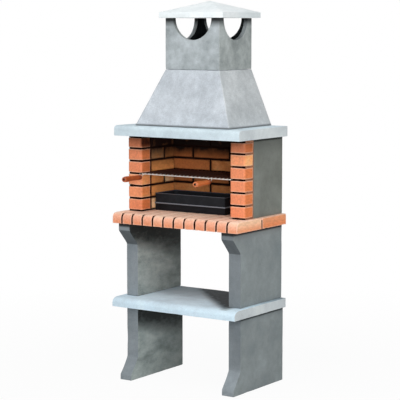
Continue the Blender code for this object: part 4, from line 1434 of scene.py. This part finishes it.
def arc(middle: Vector, start: Vector, end: Vector, steps: int) -> list[Vector]:
    """Points on a quarter circle.

    Args:
        middle: Centre of the arc.
        start: Radius vector to its first point.
        end: Radius vector to its last point.
        steps: Number of stretches.

    Returns:
        The points from the first to the last.
    """
    angles = [math.pi / 2 * step / steps for step in range(steps + 1)]
    return [middle + start * math.cos(a) + end * math.sin(a) for a in angles]


@dataclass(frozen=True)
class Shank:
    """The line that a handle's tang takes, from the tip of its hairpin towards the cook."""

    side: Side
    standoff: float = 0.0035
    left_inset: float = 0.0008
    right_inset: float = 0.1138
    right_turn: float = math.radians(4.2)
    nut_start: float = 0.0026
    handle_start: float = 0.0103
    handle_length: float = 0.140
    socket: float = 0.016

    @property
    def turn(self) -> float:
        """Angle by which the line turns to the cook's right."""
        return 0.0 if self.side is Side.LEFT else self.right_turn

    def tip(self) -> Vector:
        """The hairpin's tip, a little in front of the firebox.

        Returns:
            Its place.
        """
        bricks = box_of("right_pillar_brick_1")[0]
        low, high = box_of(f"{self.side.label}_handle")
        x = self.left_inset - bricks.x if self.side is Side.LEFT else bricks.x - self.right_inset
        return Vector((x, bricks.y - self.standoff, (low.z + high.z) / 2))

    def place(self, reach: float) -> Matrix:
        """The turn and place of a part on the line whose own -Y looks at the cook.

        Args:
            reach: Distance from the hairpin's tip.

        Returns:
            The matrix that puts the part there.
        """
        turned = Matrix.Rotation(self.turn, 4, "Z")
        return Matrix.Translation(self.tip()) @ turned @ Matrix.Translation((0.0, -reach, 0.0))

    @property
    def socket_floor(self) -> float:
        """Distance from the hairpin's tip to the floor of the handle's drilled nose."""
        return self.handle_start + self.handle_length - self.socket


@dataclass(frozen=True)
class HexNut:
    """A hexagon nut with one domed face and softened edges."""

    flat: float
    height: float
    crown: float = 0.0010
    crown_inset: float = 0.0014
    edge: float = 0.0003

    def shape(self, place: Matrix) -> BMesh:
        """The nut's shape.

        Args:
            place: Matrix of the nut's seat; the dome looks along its -Y.

        Returns:
            The bmesh of the nut.
        """
        shape = bmesh.new()
        radius = self.flat / math.sqrt(3)
        middle = Matrix.Translation((0.0, -self.height / 2, 0.0))
        bmesh.ops.create_cone(
            shape, cap_ends=True, segments=6, radius1=radius, radius2=radius,
            depth=self.height, matrix=middle @ Matrix.Rotation(math.pi / 2, 4, "X"))
        front = min(shape.faces, key=lambda face: face.calc_center_median().y)
        dome = bmesh.ops.inset_region(shape, faces=[front], thickness=self.crown_inset)["faces"]
        bmesh.ops.translate(shape, vec=(0.0, -self.crown, 0.0), verts=list(front.verts))
        rims = {edge for face in dome for edge in face.edges}
        bmesh.ops.bevel(
            shape, geom=list(rims), offset=self.edge, segments=2, profile=0.5,
            affect="EDGES", clamp_overlap=True, material=-1)
        bmesh.ops.transform(shape, matrix=place, verts=shape.verts)
        return shape


@dataclass
class Grill:
    """The wire grill: a bent frame, cross wires, a grid welded on top, and the handles' shanks."""

    palette: Palette
    wire: float = 0.006
    grid_wire: float = 0.004
    pitch: float = 0.024
    depth: float = 0.285
    cross_wires: int = 4
    groove: float = 0.0085
    weld: float = 0.0008
    bend: float = 0.011
    bend_steps: int = 5
    shank_width: float = 0.024
    apex_width: float = 0.004
    tang: float = 0.005
    shank_bend: float = 0.004
    shank_crease: float = 0.0012

    def build(self) -> None:
        """Build and dress the wires."""
        inner = box_of("right_pillar_brick_1")[0].x
        front = box_of("left_pillar_brick_1")[0].y + self.wire / 2
        level = box_of("left_pillar_brick_4")[1].z + SEAT_GAP + self.wire / 2
        side = inner + self.groove - self.wire / 2
        back = front + self.depth - self.wire
        bundle = WireBundle("grill_paths")
        bundle.lay(self.frame_loop(side, front, back, level), self.wire, closed=True)
        for index in range(1, self.cross_wires - 1):
            y = front + (back - front) * index / (self.cross_wires - 1)
            bundle.lay([Vector((-side, y, level)), Vector((side, y, level))], self.wire)
        top = level + (self.wire + self.grid_wire) / 2 - self.weld
        count = int(2 * (side - self.wire) / self.pitch)
        for index in range(count):
            x = (index - (count - 1) / 2) * self.pitch
            ends = [Vector((x, front - self.grid_wire / 2, top)),
                    Vector((x, back + self.grid_wire / 2, top))]
            bundle.lay(ends, self.grid_wire, round_ends=True)
        for side_of_handle in Side:
            self.lay_shank(bundle, Shank(side_of_handle), front, level)
        publish(bundle.shape(), "wire_grill", (self.palette.wire,), "grill",
                ("grill_grid",), weighted=False)

    def frame_loop(self, side: float, front: float, back: float, level: float) -> list[Vector]:
        """Centre line of the frame, with its four corners bent.

        Args:
            side: X of the right wire's centre line.
            front: Y of the front wire's.
            back: Y of the back wire's.
            level: Height of the frame.

        Returns:
            The points, once round.
        """
        points = []
        for x, y in ((side, front), (side, back), (-side, back), (-side, front)):
            toward_x, toward_y = math.copysign(1, x), 1 if y == back else -1
            middle = Vector((x - toward_x * self.bend, y - toward_y * self.bend, level))
            across = Vector((toward_x * self.bend, 0.0, 0.0))
            along = Vector((0.0, toward_y * self.bend, 0.0))
            forward = toward_x * toward_y < 0
            first, last = (along, across) if forward else (across, along)
            points += arc(middle, first, last, self.bend_steps)
        return points

    def lay_shank(self, bundle: WireBundle, shank: Shank, front: float, level: float) -> None:
        """Lay the hairpin that hangs from the front wire, and the tang that carries a handle.

        Args:
            bundle: Wires of the grill.
            shank: Line of the tang.
            front: Y of the front wire's centre line.
            level: Height of the frame.
        """
        tip, crease = shank.tip(), self.shank_crease
        arms = []
        for way in (-1, 1):
            wide = Vector((way * self.shank_width / 2, 0.0, 0.0))
            low_end = tip + Vector((way * self.apex_width / 2, 0.0, 0.0))
            shoulder = Vector((tip.x, tip.y, level)) + wide
            down = (low_end - shoulder).normalized()
            turn = [shoulder + Vector((0.0, self.shank_bend, 0.0)),
                    shoulder + Vector((0.0, crease, 0.0)) + down * crease,
                    shoulder + down * self.shank_bend]
            arms.append([Vector((tip.x, front, level)) + wide, *turn, low_end])
        bundle.lay(arms[0] + arms[1][::-1], self.grid_wire)
        bundle.lay([tip, shank.place(shank.socket_floor).translation], self.tang)


@dataclass
class Handle:
    """A turned wooden handle, bored through for its tang, with a nut before and behind it.

    Its neck starts with an end that is rounded in two steps, each an inset and a distance along
    the handle, and carries a turned groove.
    """

    palette: Palette
    side: Side
    bulb: float = 0.0152
    waist: float = 0.0125
    neck: float = 0.0132
    nose: float = 0.0112
    neck_length: float = 0.005
    neck_end: tuple = ((0.0022, 0.0006), (0.0006, 0.0020))
    groove: float = 0.0006
    groove_width: float = 0.0024
    waist_share: float = 0.36
    bulb_share: float = 0.84
    socket_radius: float = 0.0062
    mouth: float = 0.0006
    mouth_depth: float = 0.0008
    bore: float = 0.0028
    collar: HexNut = HexNut(flat=0.0102, height=0.0064)
    nose_nut: HexNut = HexNut(flat=0.0080, height=0.0036)
    turns: int = 40
    steps: int = 14

    def profile(self, length: float, socket: float) -> list[tuple[float, float]]:
        """Radius and distance from the neck, once round the handle's section.

        Args:
            length: Length of the handle.
            socket: Depth of the hole in its nose.

        Returns:
            The points of the closed outline.
        """
        ring, floor = self.neck_length, length - socket
        waist, bulb = length * self.waist_share, length * self.bulb_share
        shares = [step / self.steps for step in range(1, self.steps + 1)]
        points = [(self.socket_radius, 0.0)]
        points += [(self.neck - inset, along) for inset, along in self.neck_end]
        points += [(self.neck, ring), (self.neck - self.groove, ring + self.groove_width / 2),
                   (self.neck, ring + self.groove_width)]
        stretches = (points[-1], (self.waist, waist), (self.bulb, bulb))
        for (radius, start), (last_radius, end) in pairwise(stretches):
            for share in shares:
                eased = share * share * (3 - 2 * share)
                points.append((mixed(radius, last_radius, eased), mixed(start, end, share)))
        for share in shares:
            angle = math.pi / 2 * share
            points.append((mixed(self.nose, self.bulb, math.cos(angle)),
                           mixed(bulb, length, math.sin(angle))))
        points += [(self.socket_radius + self.mouth, length),
                   (self.socket_radius, length - self.mouth_depth),
                   (self.socket_radius, floor), (self.bore, floor), (self.bore, 0.0)]
        return points

    def build(self) -> None:
        """Build and dress the handle and its two nuts."""
        label, shank = self.side.label, Shank(self.side)
        shape = bmesh.new()
        points = self.profile(shank.handle_length, shank.socket)
        ring = [shape.verts.new((radius, -along, 0.0)) for radius, along in points]
        edges = [shape.edges.new(pair) for pair in zip(ring, ring[1:] + ring[:1])]
        bmesh.ops.spin(
            shape, geom=[*ring, *edges], cent=(0.0, 0.0, 0.0), axis=(0.0, 1.0, 0.0),
            angle=2 * math.pi, steps=self.turns, use_merge=True)
        bmesh.ops.remove_doubles(shape, verts=shape.verts, dist=MERGE_DISTANCE)
        # faces inside the bore take the dark end-grain finish, partly painted shade
        paint_faces(shape, lambda spot, _: spot.xz.length < self.socket_radius)
        bmesh.ops.transform(shape, matrix=shank.place(shank.handle_start), verts=shape.verts)
        wood = self.palette.left_wood if self.side is Side.LEFT else self.palette.right_wood
        publish(shape, f"{label}_handle_turned", (wood, self.palette.bore), "grill",
                (f"{label}_handle",), weighted=False)
        seats = {"collar": (self.collar, shank.nut_start),
                 "nose_nut": (self.nose_nut, shank.socket_floor + SEAT_GAP)}
        for name, (nut, reach) in seats.items():
            publish(nut.shape(shank.place(reach)), f"{label}_handle_{name}",
                    (self.palette.wire,), "grill", weighted=False)


@dataclass
class Trays:
    """The ash pan with its rolled rim, and the charcoal tray that stands on it."""

    palette: Palette
    pan_rim: float = 0.0052
    tray_lip: float = 0.003
    rim_fade: float = 0.0015
    wear: Wear = Wear(arris=0.0009, grid=0.03, ripple=0.0005, wave=0.09)

    def press(self, node: str, enamel: Material, rim: float) -> None:
        """Build one tray.

        Args:
            node: The tray's CAD node, which is named like its body.
            enamel: Its finish.
            rim: Height of the rim's painted highlight.
        """
        top = box_of(node)[1].z
        shape = weathered_copy(node, self.wear, (top - rim, top - rim - self.rim_fade))
        dress(shape, node, "pressed", (enamel,), "black_steel", body=node,
              # painted highlight along the top rim
              rubbed=lambda spot, _: fade(top - spot.z, rim, rim + self.rim_fade))

    def build(self) -> None:
        """Build and dress both trays."""
        self.press("ash_pan", self.palette.pan_enamel, self.pan_rim)
        self.press("charcoal_tray", self.palette.tray_enamel, self.tray_lip)


@dataclass(frozen=True)
class Lamp:
    """A square soft lamp that looks at the firebox.

    Its azimuth is in degrees from the front towards the cook's right, its elevation in degrees
    above level, and its level the share of a white surface's brightness that it gives face on.
    """

    name: str
    azimuth: float
    elevation: float
    size: float
    level: float
    distance: float = 5.0
    aim_height: float = 1.0

    def hang(self) -> None:
        """Hang the lamp."""
        turn, rise = math.radians(self.azimuth), math.radians(self.elevation)
        away = Vector((math.sin(turn) * math.cos(rise), -math.cos(turn) * math.cos(rise),
                       math.sin(rise)))
        light = bpy.data.lights.new(self.name, "AREA")
        light.size = self.size
        light.energy = self.level * (math.pi * self.distance) ** 2
        lamp = bpy.data.objects.new(self.name, light)
        lamp.location = Vector((0.0, 0.0, self.aim_height)) + away * self.distance
        lamp.rotation_euler = away.to_track_quat("Z", "Y").to_euler()
        bpy.context.scene.collection.objects.link(lamp)


@dataclass
class Studio:
    """The plain pale floor, the soft light and the camera.

    The camera's place, lens and angles in degrees were fitted to corners in the photograph.
    """

    floor_radius: float = 8.0
    floor_segments: int = 96
    fade_start: float = 0.9
    fade_end: float = 3.0
    floor_tint: str = "#D9D9D9"
    floor_share: float = 0.95
    sky_fill: float = 0.35
    lamps: tuple[Lamp, ...] = (
        Lamp("front_lamp", azimuth=42.0, elevation=13.0, size=2.2, level=0.46),
        Lamp("top_lamp", azimuth=0.0, elevation=60.0, size=2.5, level=0.38),
        Lamp("side_lamp", azimuth=95.0, elevation=24.0, size=2.0, level=0.12),
    )
    lens_mm: float = 138.43
    sensor_mm: float = 36.0
    sight: float = 100.0
    camera_place: tuple[float, float, float] = (4.3897, -6.4323, 1.8277)
    camera_drop: float = 6.523
    camera_turn: float = 34.267

    def seen_share(self, tree: NodeTree) -> Node:
        """Tell what the eye, a reflection or a clear body shows from all other light.

        Args:
            tree: Tree of the material or the world.

        Returns:
            The node that gives 1 for the first and 0 for the other.
        """
        path = add_node(tree, "ShaderNodeLightPath")
        seen = add_node(tree, "ShaderNodeMath", {
            0: path.outputs["Is Camera Ray"], 1: path.outputs["Is Glossy Ray"]},
            operation="MAXIMUM")
        return add_node(tree, "ShaderNodeMath", {
            0: seen, 1: path.outputs["Is Transmission Ray"]}, operation="MAXIMUM")

    def lay_floor(self) -> None:
        """Lay a white floor that keeps the shadow close by and runs out into white."""
        shape = bmesh.new()
        bmesh.ops.create_circle(
            shape, cap_ends=True, radius=self.floor_radius, segments=self.floor_segments)
        mesh = bpy.data.meshes.new("floor")
        shape.to_mesh(mesh)
        shape.free()
        floor = bpy.data.objects.new("floor", mesh)
        bpy.context.scene.collection.objects.link(floor)
        material, tree, shader, place = new_material("white_studio_floor")
        feed(tree, shader, {"Base Color": srgb(self.floor_tint), "Roughness": 0.95})
        radius = add_node(tree, "ShaderNodeVectorMath", {0: place}, operation="LENGTH")
        whiteness = add_node(tree, "ShaderNodeMapRange", {
            "Value": radius.outputs["Value"], "From Min": self.fade_start,
            "From Max": self.fade_end, "To Min": self.floor_share, "To Max": 1.0})
        share = add_node(tree, "ShaderNodeMath", {
            0: self.seen_share(tree), 1: whiteness}, operation="MULTIPLY")
        glow = add_node(tree, "ShaderNodeEmission", {"Strength": 1.0})
        mix = add_node(tree, "ShaderNodeMixShader", {0: share, 1: shader, 2: glow})
        feed(tree, tree.nodes["Material Output"], {"Surface": mix})
        mesh.materials.append(material)

    def light_sky(self) -> None:
        """Make an even sky that is white where it is seen."""
        world = bpy.data.worlds.new("studio_sky")
        bpy.context.scene.world = world
        world.use_nodes = True
        tree = world.node_tree
        strength = add_node(tree, "ShaderNodeMapRange", {
            "Value": self.seen_share(tree), "To Min": self.sky_fill, "To Max": 1.0})
        feed(tree, tree.nodes["Background"], {
            "Color": (1.0, 1.0, 1.0, 1.0), "Strength": strength})

    def aim_camera(self) -> None:
        """Stand the camera where the photograph was taken from."""
        data = bpy.data.cameras.new("camera")
        data.lens = self.lens_mm
        data.sensor_width = self.sensor_mm
        data.clip_end = self.sight
        camera = bpy.data.objects.new("camera", data)
        camera.location = self.camera_place
        camera.rotation_euler = (
            math.radians(90 - self.camera_drop), 0.0, math.radians(self.camera_turn))
        bpy.context.scene.collection.objects.link(camera)
        bpy.context.scene.camera = camera

    def build(self) -> None:
        """Set up the whole studio."""
        self.lay_floor()
        self.light_sky()
        for lamp in self.lamps:
            lamp.hang()
        self.aim_camera()
        bpy.context.scene.view_settings.view_transform = "Standard"


def main() -> None:
    """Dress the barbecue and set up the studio."""
    logging.basicConfig(level=logging.INFO, format="%(message)s")
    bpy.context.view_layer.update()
    palette = Palette()
    Legs(palette).build()
    Slabs(palette).build()
    WallPanels(palette).build()
    Chimney(palette).build()
    Ledge(palette).build()
    Pillars(palette).build()
    Lining(palette).build()
    Grill(palette).build()
    for side in Side:
        Handle(palette, side).build()
    Trays(palette).build()
    Studio().build()
    bpy.context.view_layer.update()


if __name__ == "__main__":
    main()
